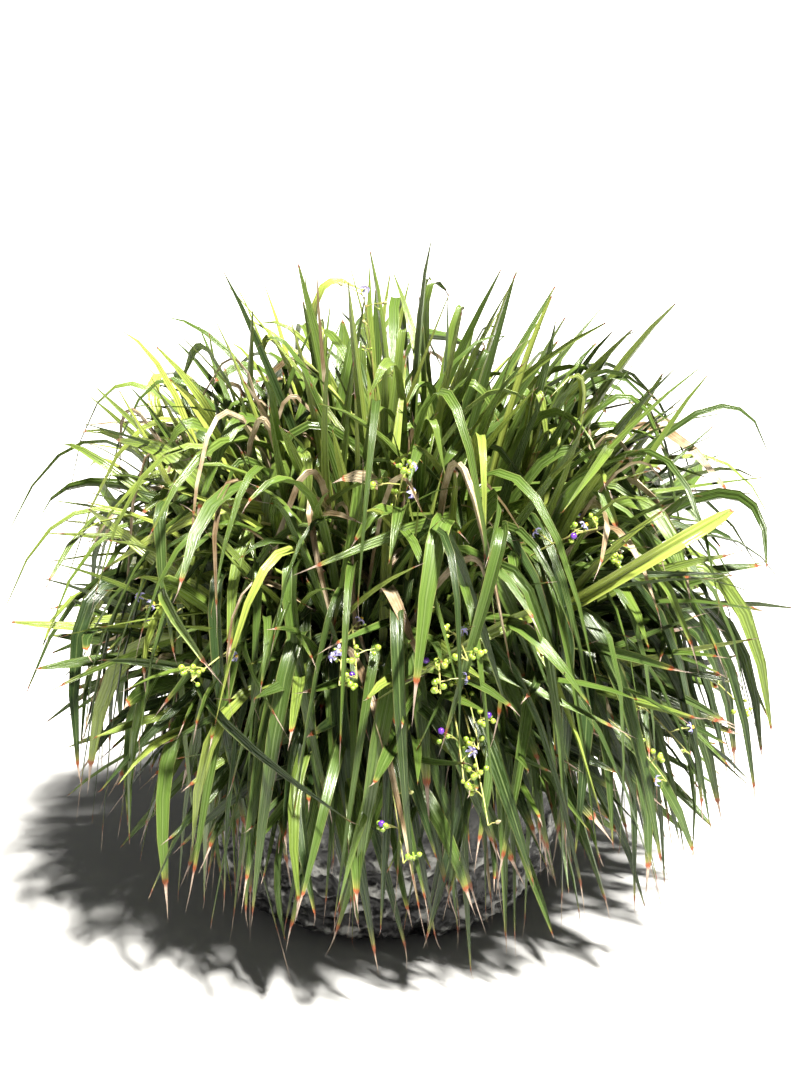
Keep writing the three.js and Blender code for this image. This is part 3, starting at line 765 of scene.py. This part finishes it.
CROSSING = dict(
    leaves=130, start=55, end=116, deepest=0.3, outer=1.0, seed=23000, inward=(-0.2, 0.5),
    level=(0.3, 1.0), share=(0.3, 0.9), swerve=0.34, arch=(0.0, 0.35), half=(0.008, 0.0135),
)
HANGING = dict(
    leaves=110, near=0.300, far=0.560, low=0.040, high=0.280, shift=0.050, seed=24000,
    inward=(0.2, 0.7), level=(0.05, 0.9), share=(0.5, 0.95), swerve=0.14, arch=(0.05, 0.6),
    half=(0.009, 0.014),
)
TRAILING = dict(
    leaves=115, near=0.33, far=0.56, low=0.035, high=0.240, shift=0.020, seed=24500,
    from_angle=-140, to_angle=5, inward=(0.2, 0.7), level=(0.05, 0.9), share=(0.5, 0.95),
    swerve=0.16, arch=(0.05, 0.6), half=(0.009, 0.0145),
)
INNER = dict(
    leaves=130, start=0, end=115, deepest=0.75, outer=0.9, seed=25000, inward=(0.3, 0.8),
    level=(0.1, 0.8), share=(0.4, 0.9), swerve=0.16, arch=(0.0, 0.5), half=(0.006, 0.011),
)
DEAD = dict(
    leaves=115, start=55, end=130, deepest=0.5, outer=0.90, seed=26000, inward=(0.2, 0.7),
    level=(0.05, 0.8), share=(0.4, 1.0), swerve=0.20, arch=(0.05, 0.7), half=(0.003, 0.008),
)
for band in (FAN, RAYS, SPREADING, BENT, FOUNTAIN, CROSSING, HANGING, TRAILING, INNER, DEAD):
    tip_of = skirt_tip if "near" in band else crown_tip
    for i in range(band["leaves"]):
        more_leaf(band, tip_of(band, i), band["seed"] + i)

# One blade, modelled once: a keeled four-cornered section drawn out ring by ring to a point
RINGS = 12
KEEL = dict(edge=0.10, top=-0.12, under=-0.24)
bpy.ops.object.select_all(action="DESELECT")
bpy.ops.mesh.primitive_circle_add(
    vertices=4, radius=1, fill_type="NGON", rotation=(math.pi / 2, 0, 0)
)
blade = bpy.context.object
bpy.ops.object.transform_apply()
for vertex in blade.data.vertices:
    if abs(vertex.co.x) < 0.5:
        vertex.co.z = KEEL["top"] if vertex.co.z > 0 else KEEL["under"]
    else:
        vertex.co.z = KEEL["edge"]
bpy.ops.object.mode_set(mode="EDIT")
bpy.ops.mesh.select_all(action="SELECT")
for _ in range(RINGS):
    bpy.ops.mesh.extrude_region_move(TRANSFORM_OT_translate={"value": (0, 1 / RINGS, 0)})
bpy.ops.mesh.merge(type="CENTER")
bpy.ops.mesh.select_all(action="SELECT")
bpy.ops.mesh.normals_make_consistent(inside=False)
leave_edit()
blade_points = np.array([v.co for v in blade.data.vertices])
blade_faces = [tuple(p.vertices) for p in blade.data.polygons]
bpy.data.objects.remove(blade)
ring_of = np.rint(blade_points[:, 1] * RINGS).astype(int)

# How a blade is laid along its curve: the last rings stand in its dry end and are narrow,
# the others draw together at a bend, the fold opens towards the tip, and the tip hooks
FINE_STEPS = 60
DRY_RINGS = (0.93, 0.45)
DRY_WIDTHS = (0.62, 0.5)
BEND_WEIGHT = 0.3
FOLD_ALONG = (1.4, 0.8)
HOOK_SHARES = (0.3, 1.0)


def leaf_half(leaf, t):
    """Half the leaf's width at shares t of its length."""
    swell = np.sin(np.minimum(t / LEAF["widest"], 1) * math.pi / 2)
    shape = FULL_LEAF if leaf["full"] else LEAF
    late = np.maximum(t - shape["taper"], 0) / (1 - shape["taper"])
    return between(leaf["root_half"], leaf["half"], swell) * (1 - late ** shape["power"])


def laid(leaf):
    """The blade's points along the leaf's curve, and what its finish needs to know."""
    a, b, c = leaf["curve"]
    length = leaf_length(leaf["curve"])
    dry = leaf["dry"] / length
    # The rings stand closest where the leaf bends most
    fine = np.linspace(0, 1 - dry, FINE_STEPS)[:, None]
    turns = course(leaf["curve"], fine)
    turns /= np.linalg.norm(turns, axis=1, keepdims=True)
    steps = np.linalg.norm(np.diff(on_curve(leaf["curve"], fine), axis=0), axis=1) / length
    steps += BEND_WEIGHT * np.linalg.norm(np.diff(turns, axis=0), axis=1)
    worn = np.concatenate([[0], np.cumsum(steps)])
    stations = np.interp(np.linspace(0, worn[-1], RINGS - 2), worn, fine[:, 0])
    stations = np.concatenate([stations, [1 - ring * dry for ring in DRY_RINGS], [1]])
    t = stations[:, None]
    line = on_curve(leaf["curve"], t)
    along = course(leaf["curve"], t)
    along /= np.linalg.norm(along, axis=1, keepdims=True)
    side = unit(np.cross(b - a, c - b))
    over = np.cross(along, side)
    turn = leaf["roll"] + leaf["twist"] * t
    across = side * np.cos(turn) + over * np.sin(turn)
    top = over * np.cos(turn) - side * np.sin(turn)
    half = leaf_half(leaf, stations)
    half[-3:-1] *= DRY_WIDTHS
    sway = leaf["sway"] * np.sin(stations * leaf["waves"] + leaf["phase"]) * stations
    sway[-2:] += leaf["hook"] * np.array(HOOK_SHARES)
    line = line + across * sway[:, None]
    x, z = blade_points[:, 0], blade_points[:, 2]
    fold = leaf["fold"] * np.linspace(*FOLD_ALONG, len(stations))[ring_of]
    h = half[ring_of]
    thick = np.where(z < between(KEEL["under"], KEEL["top"], 0.5), LEAF_THICK, 0.0)
    lift = np.where(np.abs(x) > 0.5, np.sin(fold), -0.3 * np.sin(fold))
    points = line[ring_of] + across[ring_of] * (x * h * np.cos(fold))[:, None]
    points = points + top[ring_of] * (lift * h - thick)[:, None]
    points[ring_of == RINGS] = line[-1]
    finish = dict(
        across=x,
        past_dry=(stations - (1 - dry))[ring_of] * length,
        along=stations[ring_of],
        tone_and_light=np.full(len(x), leaf["tone_and_light"]),
        straw=np.full(len(x), leaf["straw"]),
    )
    return points, finish


# Each leaf's own fold, sway and colour. Leaves high up and on the left are painted palest,
# painted light for the sun on the top of the plant and for leaves lit from behind on the left,
# and low leaves are painted darker, painted shade; each leaf's tone also differs at random
AGED = dict(share=0.78, dry=(0.010, 0.040), young=0.006, most=0.2, straw=0.015)
LIVE = dict(fold=(0.1, 0.6), sway=(0.0, 0.012), waves=(2.5, 6.0), phase=(0, 6.28), hook=0.004)
WITHERED = dict(fold=(0.6, 1.2), sway=(0.01, 0.03))
LEAF_TONE_AND_LIGHT = dict(dark=0.18, gain=0.40, spread=0.17, low=0.25, rise=0.7, left=0.1, left_most=0.3)
chance = np.random.default_rng(5)
for cane in canes:
    for leaf in cane.leaves:
        tip = leaf["curve"][2]
        dry = chance.uniform(*AGED["dry"]) if chance.random() < AGED["share"] else AGED["young"]
        leaf["dry"] = min(dry, AGED["most"] * leaf_length(leaf["curve"]))
        for trait in ("fold", "sway", "waves", "phase"):
            leaf[trait] = chance.uniform(*LIVE[trait])
        leaf["hook"] = chance.normal(0, LIVE["hook"])
        # Painted light: a leaf is painted paler the higher its tip stands and the further left it
        # lies
        painted_lit = clamp((tip[2] - LEAF_TONE_AND_LIGHT["low"]) / LEAF_TONE_AND_LIGHT["rise"], 0, 1)
        painted_lit += clamp(-tip[0] - LEAF_TONE_AND_LIGHT["left"], 0, LEAF_TONE_AND_LIGHT["left_most"])
        tone_and_light = chance.normal(LEAF_TONE_AND_LIGHT["dark"] + LEAF_TONE_AND_LIGHT["gain"] * painted_lit, LEAF_TONE_AND_LIGHT["spread"])
        leaf["tone_and_light"] = clamp(tone_and_light, 0, 1)
        leaf["straw"] = 1.0 if leaf["dead"] or chance.random() < AGED["straw"] else 0.0
        if leaf["dead"]:
            for trait, ends in WITHERED.items():
                leaf[trait] = chance.uniform(*ends)

CANE_SIDES = 8
CANE_LEVELS = (-1, 0, 0.2, 0.4, 0.6, 0.8, 1.0)
CANE_FLUTE = 0.92


def cane_points(cane):
    """Rings of points up the cane from its foot, flat sheaths folded round each other."""
    rings = []
    for level in CANE_LEVELS:
        along = unit(course(cane.curve, max(level, 0)))
        if level < 0:
            at, along = cane.foot, np.array([0.0, 0.0, 1.0])
        else:
            at = on_curve(cane.curve, level)
        flat = unit(cane.side - along * (cane.side @ along))
        other = np.cross(along, flat)
        size = cane.size(max(level, 0))
        for k in range(CANE_SIDES):
            angle = 2 * k * math.pi / CANE_SIDES
            bulge = 1.0 if k % 2 == 0 else CANE_FLUTE
            rings.append(
                at + flat * CANE["broad"] * size * bulge * math.cos(angle)
                + other * CANE["thin"] * size * bulge * math.sin(angle)
            )
    return np.array(rings)


def ringed_faces(rings, sides):
    """The faces that close rings of points into a tube with two ends."""
    last = (rings - 1) * sides
    faces = [tuple(range(sides))[::-1], tuple(range(last, last + sides))]
    for i in range(rings - 1):
        for k in range(sides):
            a, b = i * sides + k, i * sides + (k + 1) % sides
            faces.append((a, b, b + sides, a + sides))
    return faces


cane_faces = ringed_faces(len(CANE_LEVELS), CANE_SIDES)

# Green between paler ribs and veins, an orange band, and a dry end beyond it
GREEN_LEAF = dict(
    shade=(0.012, 0.030, 0.008), deep=(0.088, 0.150, 0.022), painted_lit=(0.44, 0.51, 0.095),
    streak=(0.20, 0.27, 0.075), vein=(0.20, 0.28, 0.08), pleat=(0.030, 0.060, 0.014),
    groove=(0.035, 0.070, 0.016), rib=(0.30, 0.36, 0.13), foot=(0.24, 0.19, 0.08),
    margin=(0.30, 0.28, 0.10), yellowed=(0.36, 0.33, 0.08), rust=(0.30, 0.065, 0.024),
    glow=(0.30, 0.42, 0.04),
)
DRY_LEAF = dict(low=(0.38, 0.23, 0.17), high=(0.76, 0.64, 0.52))
OLD_LEAF = dict(low=(0.22, 0.15, 0.08), high=(0.58, 0.48, 0.33))
TRAITS = ("across", "past_dry", "along", "tone_and_light", "straw")
CANE_TRAITS = dict(across=0.0, past_dry=-0.3, along=0.0, tone_and_light=0.45, straw=0.15)
leaf_green = new_material("strap_leaf")
n = Nodes(leaf_green)
across, past_dry, along, tone_and_light, straw = (
    n.add("ShaderNodeAttribute", attribute_name=trait).outputs["Fac"] for trait in TRAITS
)
from_rib = n.math("ABSOLUTE", across)
patch = n.noise(n.place(), 24.0, 3.0)
striped = n.add(
    "ShaderNodeCombineXYZ", {0: n.part(across, 7.0), 1: n.part(past_dry, 7.0), 2: tone_and_light}
)
streak = n.noise(striped.outputs[0], 1.7, 4.0, 0.65)
vein = n.math("SINE", n.part(across, 44.0))
pleat = n.math("SINE", n.part(across, 13.0))
# A leaf's green runs from painted shade to painted light by its tone, which is set by height and
# side and partly at random
fresh = n.mix(n.steps(tone_and_light, 0.0, 0.5), GREEN_LEAF["shade"], GREEN_LEAF["deep"])
for share, colour in (
    (n.steps(tone_and_light, 0.40, 1.0), "painted_lit"),
    (n.part(n.steps(streak, 0.42, 0.75), 0.20), "streak"),
    (n.part(n.steps(vein, 0.1, 1.0), 0.09), "vein"),
    # Painted shade in the troughs of the pleats
    (n.part(n.steps(pleat, -0.2, -1.0), 0.20), "pleat"),
    # Painted shade in the groove of the fold beside the rib
    (n.part(n.steps(from_rib, 0.30, 0.12), 0.32), "groove"),
    (n.part(n.steps(from_rib, 0.09, 0.03), 0.26), "rib"),
    (n.part(n.steps(along, 0.12, 0.0), 0.7), "foot"),
    (n.part(n.steps(from_rib, 0.88, 1.0), 0.40), "margin"),
):
    fresh = n.mix(share, fresh, GREEN_LEAF[colour])
dry_tan = n.mix(n.steps(streak, 0.3, 0.7), DRY_LEAF["low"], DRY_LEAF["high"])
old = n.mix(n.steps(patch, 0.35, 0.7), OLD_LEAF["low"], OLD_LEAF["high"])
ragged = n.part(n.math("SUBTRACT", streak, 0.5), 0.010)
shift = n.math("ADD", past_dry, ragged)
base = n.mix(straw, fresh, old)
base = n.mix(n.part(n.steps(shift, -0.018, -0.002), 0.45), base, GREEN_LEAF["yellowed"])
base = n.mix(n.part(n.steps(shift, -0.005, -0.001), 0.92), base, GREEN_LEAF["rust"])
base = n.mix(n.steps(shift, 0.001, 0.006), base, dry_tan)
height = n.math("ADD", n.part(vein, 0.18), n.part(streak, 0.5))
height = n.math("ADD", height, n.part(pleat, 0.5))
normal = n.bump(height, 0.0007)
surface = n.surface(base, n.steps(streak, 0.3, 0.7, 0.24, 0.34), normal)
surface.inputs["Specular IOR Level"].default_value = 0.58
glow = n.add(
    "ShaderNodeBsdfTranslucent",
    {"Color": n.mix(0.5, base, GREEN_LEAF["glow"]), "Normal": normal},
)
n.finish(n.lit_through(0.18, surface.outputs[0], glow.outputs[0]))

for i, cane in enumerate(canes):
    name = shoot_name(i) + "_leaves"
    verts, faces = [cane_points(cane)], list(cane_faces)
    start = len(verts[0])
    finish = [{trait: np.full(start, value) for trait, value in CANE_TRAITS.items()}]
    for leaf in cane.leaves:
        points, knows = laid(leaf)
        faces += [tuple(v + start for v in f) for f in blade_faces]
        start += len(points)
        verts.append(points)
        finish.append(knows)
    shoot = new_object(name, np.concatenate(verts).tolist(), [], faces)
    for trait in TRAITS:
        layer = shoot.data.attributes.new(trait, "FLOAT", "POINT")
        values = np.concatenate([knows[trait] for knows in finish])
        layer.data.foreach_set("value", values.astype(np.float32))
    shoot.data.materials.append(leaf_green)
    smoothed(shoot, 60)
    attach(shoot, "root")
    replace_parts(shoot, shoot_name(i))


# Flower stalks
# Thin, wiry stalks arch out among the leaves. Their short side branches bear round berries
# that ripen from green to violet, small six-petalled flowers with yellow anthers, and buds.
STALK = dict(half=0.0015, tip=0.65, foot=0.012, seed=5000, bearing=0.5, spans=28)
STALK_FOUND = 0.0003
STALK_SHIFTS = 60
BRANCH = dict(half=0.0009, shortest=0.018, longest=0.034, last=0.012, turn=2.4, sag=0.0018)
FORK = dict(half=0.7, reach=(0.008, 0.013), stray=0.8, berry=(0.6, 0.95), bud=(0.35, 0.55))
RIPE_SHARE = 0.16
SUNK = dict(berry=0.0037, flower=0.0015, bud=0.0031)
BERRY_RADIUS = 0.0046
BERRY_POINT = 0.0009
BUD_RADIUS = 0.0026
BUD_LONG = 1.7
PETALS = 6
PETAL = dict(width=0.0019, least=0.0002, cup=0.0006, foot=0.0012, reach=0.0072, rise=0.0022)


def modelled(obj):
    """The points and faces of a part that was modelled at the origin."""
    pick(obj)
    bpy.ops.object.transform_apply()
    points = np.array([v.co for v in obj.data.vertices])
    faces = [tuple(p.vertices) for p in obj.data.polygons]
    bpy.data.objects.remove(obj)
    return points, faces


def turned_round(count):
    """Copies all that is in edit mode again and again, each copy turned on from the last."""
    bpy.ops.mesh.select_all(action="SELECT")
    for _ in range(count - 1):
        bpy.ops.mesh.duplicate()
        bpy.ops.transform.rotate(
            value=2 * math.pi / count, orient_axis="Z", center_override=(0, 0, 0)
        )


# A berry, round, with the withered end of its flower left on it as a small point
bpy.ops.mesh.primitive_ico_sphere_add(subdivisions=2, radius=BERRY_RADIUS)
berry = bpy.context.object
for vertex in berry.data.vertices:
    if vertex.co.z > 0.93 * BERRY_RADIUS:
        vertex.co.z += BERRY_POINT
berry = modelled(berry)

# A bud, drawn out to a blunt point
bpy.ops.mesh.primitive_uv_sphere_add(segments=8, ring_count=6, radius=BUD_RADIUS)
bud = bpy.context.object
for vertex in bud.data.vertices:
    narrower = 1 - 0.25 * vertex.co.z / BUD_RADIUS
    vertex.co = (vertex.co.x * narrower, vertex.co.y * narrower, vertex.co.z * BUD_LONG)
bud = modelled(bud)

# One petal is a strip bent back from the flower's middle; six of them are turned round it
bpy.ops.mesh.primitive_grid_add(x_subdivisions=2, y_subdivisions=5, size=1)
petals = bpy.context.object
for vertex in petals.data.vertices:
    t = vertex.co.y + 0.5
    width = PETAL["width"] * math.sin(math.pi * (0.12 + 0.83 * t)) + PETAL["least"]
    cup = PETAL["cup"] * (abs(vertex.co.x) * 2) * math.sin(math.pi * t)
    vertex.co = (
        vertex.co.x * 2 * width,
        PETAL["foot"] + PETAL["reach"] * math.sin(t * 1.45),
        PETAL["rise"] * math.sin(t * math.pi * 0.8) - 0.0046 * t * t + cup,
    )
edit(petals)
turned_round(PETALS)
leave_edit()
petals = modelled(petals)

# Six anthers stand round the middle of the flower
bpy.ops.mesh.primitive_uv_sphere_add(
    segments=5, ring_count=4, radius=0.0007, location=(0.0016, 0, 0.0034)
)
anthers = bpy.context.object
anthers.scale = (1, 1, 2.6)
bpy.ops.object.transform_apply()
edit(anthers)
turned_round(PETALS)
leave_edit()
anthers = modelled(anthers)


def tube(line, half, tip_share, sides):
    """The points and faces of a rod along a line, each ring a little thinner than the last."""
    points = []
    for i, at in enumerate(line):
        along = unit(line[min(i + 1, len(line) - 1)] - line[max(i - 1, 0)])
        side = unit(np.cross(along, (0.3, 0.9, 0.1)))
        other = np.cross(along, side)
        size = half * between(1, tip_share, i / (len(line) - 1))
        for k in range(sides):
            angle = 2 * math.pi * k / sides
            points.append(at + size * (side * math.cos(angle) + other * math.sin(angle)))
    return np.array(points), ringed_faces(len(line), sides)


def facing(out):
    """The turn that sets a part modelled along the upright axis along a direction."""
    turn = Vector((0, 0, 1)).rotation_difference(Vector(out)).to_matrix()
    return np.array(turn).T


def stalk_parts(spec, n, loose, draw):
    """The stalk's foot, its curve, and each branch's load, start, heading and reach."""
    (x, y), head, arch, berries, flowers, buds = spec
    foot = np.array([x, y, 0.0]) / 1000
    foot[:2] += draw(-loose, loose), draw(-loose, loose)
    foot[2] = soil_height(math.hypot(foot[0], foot[1])) - BURIED
    neck = foot + (0, 0, BURIED + STALK["foot"])
    head = np.array(head) / 1000
    low = neck + (0, 0, (head[2] - neck[2]) * 0.3 + arch / 2000)
    high = between(neck, head, 0.65)
    high[2] = max(neck[2], head[2]) + 0.45 * arch / 1000

    def at(t):
        lower = neck * (1 - t) ** 3 + 3 * low * t * (1 - t) ** 2
        return lower + 3 * high * t * t * (1 - t) + head * t ** 3

    kinds = ["berry"] * berries + ["flower"] * flowers + ["bud"] * buds
    branches = []
    for k, kind in enumerate(kinds):
        out = heading(k * BRANCH["turn"] + n, draw(-0.1, 0.7))
        reach = draw(BRANCH["shortest"], BRANCH["longest"]) if k else BRANCH["last"]
        branches.append((kind, at(1 - STALK["bearing"] * k / len(kinds)), out, reach))
    return foot, at, branches


def foot_of(node):
    """The middle of the solid stalk's lowest ring of points."""
    points = np.array([v.co for v in node.data.vertices])
    ring = points[points[:, 2] < points[:, 2].min() + 0.0005]
    return (ring.min(axis=0) + ring.max(axis=0)) / 2


def plain_material(name, low, high, roughness, scale=300.0, glow=0.0):
    """A finish of two colours in small specks, which may let some light through."""
    material = new_material(name)
    n = Nodes(material)
    speck = n.noise(n.place(), scale, 4.0, 0.6)
    base = n.mix(n.steps(speck, 0.35, 0.7), low, high)
    surface = n.surface(base, roughness, n.bump(speck, 0.0004))
    glow_node = n.add("ShaderNodeBsdfTranslucent", {"Color": base})
    n.finish(n.lit_through(glow, surface.outputs[0], glow_node.outputs[0]))
    return material


stalk_materials = [
    plain_material("stalk_green", (0.20, 0.26, 0.05), (0.42, 0.34, 0.12), 0.5),
    plain_material("green_berry", (0.17, 0.28, 0.03), (0.36, 0.44, 0.06), 0.22, 120.0, 0.1),
    plain_material("violet_berry", (0.045, 0.010, 0.16), (0.12, 0.03, 0.33), 0.2, 120.0),
    plain_material("violet_petal", (0.30, 0.26, 0.72), (0.78, 0.76, 0.95), 0.6, 220.0, 0.3),
    plain_material("yellow_anther", (0.75, 0.42, 0.02), (0.85, 0.62, 0.08), 0.6),
    plain_material("bud_skin", (0.26, 0.20, 0.12), (0.34, 0.38, 0.10), 0.5, 160.0),
]
GREEN, UNRIPE, RIPE, VIOLET, YELLOW, SKIN = range(len(stalk_materials))
chance = np.random.default_rng(23)


def laden(pieces, branches):
    """Adds each side branch with what it bears, and its forks to smaller green berries."""
    for kind, start, out, reach in branches:
        end = start + out * reach
        middle = between(start, end, 0.5) + (0, 0, BRANCH["sag"])
        pieces.append((*tube(np.array([start, middle, end]), BRANCH["half"], 0.8, 5), GREEN))
        face, place_at = facing(out), end + out * SUNK[kind]
        if kind == "flower":
            pieces.append((petals[0] @ face + place_at, petals[1], VIOLET))
            pieces.append((anthers[0] @ face + place_at, anthers[1], YELLOW))
        elif kind == "bud":
            pieces.append((bud[0] @ face + place_at, bud[1], SKIN))
        else:
            ripe = RIPE if chance.random() < RIPE_SHARE else UNRIPE
            pieces.append((berry[0] @ face + place_at, berry[1], ripe))
        for _ in range(chance.integers(2, 6) if kind == "berry" else chance.integers(0, 3)):
            fork = between(start, end, chance.uniform(0.2, 0.8))
            lead = unit(out + chance.normal(0, FORK["stray"], 3))
            tip = fork + lead * chance.uniform(*FORK["reach"])
            twig = tube(np.array([fork, tip]), BRANCH["half"] * FORK["half"], 0.8, 4)
            pieces.append((*twig, GREEN))
            size = chance.uniform(*FORK["berry" if kind == "berry" else "bud"])
            seat = tip + lead * BERRY_RADIUS * size * 0.8
            pieces.append(((berry[0] * size) @ facing(lead) + seat, berry[1], UNRIPE))


def joined(name, pieces):
    """One object of all the pieces, each with its own material."""
    verts, faces, slots = [], [], []
    start = 0
    for points, own_faces, slot in pieces:
        verts.append(points)
        faces += [tuple(v + start for v in f) for f in own_faces]
        slots += [slot] * len(own_faces)
        start += len(points)
    made = new_object(name, np.concatenate(verts).tolist(), [], faces)
    made.data.polygons.foreach_set("material_index", slots)
    for material in stalk_materials:
        made.data.materials.append(material)
    smoothed(made, 60)
    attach(made, "root")
    return made


for n_stalk, spec in enumerate(STALK_ENDS):
    node_name = f"flower_stalk_{n_stalk + 1}"
    stands_at = foot_of(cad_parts[node_name])
    draw = seeded(STALK["seed"] + n_stalk)
    foot, at, branches = stalk_parts(spec, n_stalk, 0, draw)
    loose = 0
    while math.hypot(*(foot - stands_at)[:2]) > STALK_FOUND and loose < STALK_SHIFTS:
        loose += 1
        foot, at, branches = stalk_parts(spec, n_stalk, loose / 1000, draw)
    line = np.array([foot] + [at(t) for t in np.linspace(0, 1, STALK["spans"])])
    pieces = [(*tube(line, STALK["half"], STALK["tip"], 6), GREEN)]
    laden(pieces, branches)
    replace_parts(joined(node_name + "_fine", pieces), node_name)

# More sprays than the solids have show their fruit between the leaves at the plant's surface
pieces = []
for k, head in enumerate(heads[len(STALK_ENDS):]):
    cane = min(canes, key=lambda c: np.linalg.norm(c.curve[2][:2] - 0.35 * head[:2]))
    neck = on_curve(cane.curve, 0.8)
    knee = between(neck, head, 0.6) + (0, 0, 0.05 + 0.25 * max(neck[2] - head[2], 0))
    curve = (neck, knee, head)
    line = np.array([on_curve(curve, t) for t in np.linspace(0, 1, STALK["spans"])])
    pieces.append((*tube(line, STALK["half"], STALK["tip"], 6), GREEN))
    kinds = chance.choice(["berry", "berry", "berry", "flower", "bud"], chance.integers(3, 6))
    branches = []
    for i, kind in enumerate(kinds):
        out = heading(i * BRANCH["turn"] + k, chance.uniform(-0.2, 0.7))
        reach = chance.uniform(BRANCH["shortest"], BRANCH["longest"]) if i else BRANCH["last"]
        branches.append((kind, on_curve(curve, 1 - 0.10 * i), out, reach))
    laden(pieces, branches)
joined("berry_sprays", pieces)


# Floor and light
# A plain pale floor that runs out to the horizon, one broad light from the upper right, and
# a faint even light from all round.
FLOOR_SIZE = 800
FLOOR_TONE = 0.5
AROUND = 0.13
KEY = dict(energy=21.0, angle=6, colour=(1.0, 0.97, 0.90), heads=(-0.46, 0.42, -1.55))
bpy.ops.mesh.primitive_plane_add(size=FLOOR_SIZE, location=(0, 0, 0))
floor = bpy.context.object
floor.name = "floor"
pale = new_material("pale_floor")
n = Nodes(pale)
n.finish(n.add("ShaderNodeBsdfDiffuse", {"Color": (*[FLOOR_TONE] * 3, 1)}).outputs[0])
floor.data.materials.append(pale)

world = bpy.data.worlds.new("studio")
world.use_nodes = True
background = world.node_tree.nodes["Background"]
background.inputs["Color"].default_value = (1, 1, 1, 1)
background.inputs["Strength"].default_value = AROUND
bpy.context.scene.world = world

bpy.ops.object.light_add(type="SUN", location=(2, -1.7, 3))
key = bpy.context.object
key.name = "key"
key.data.energy = KEY["energy"]
key.data.angle = math.radians(KEY["angle"])
key.data.color = KEY["colour"]
key.rotation_euler = Vector(KEY["heads"]).to_track_quat("-Z", "Y").to_euler()

bpy.context.scene.view_settings.view_transform = "Standard"
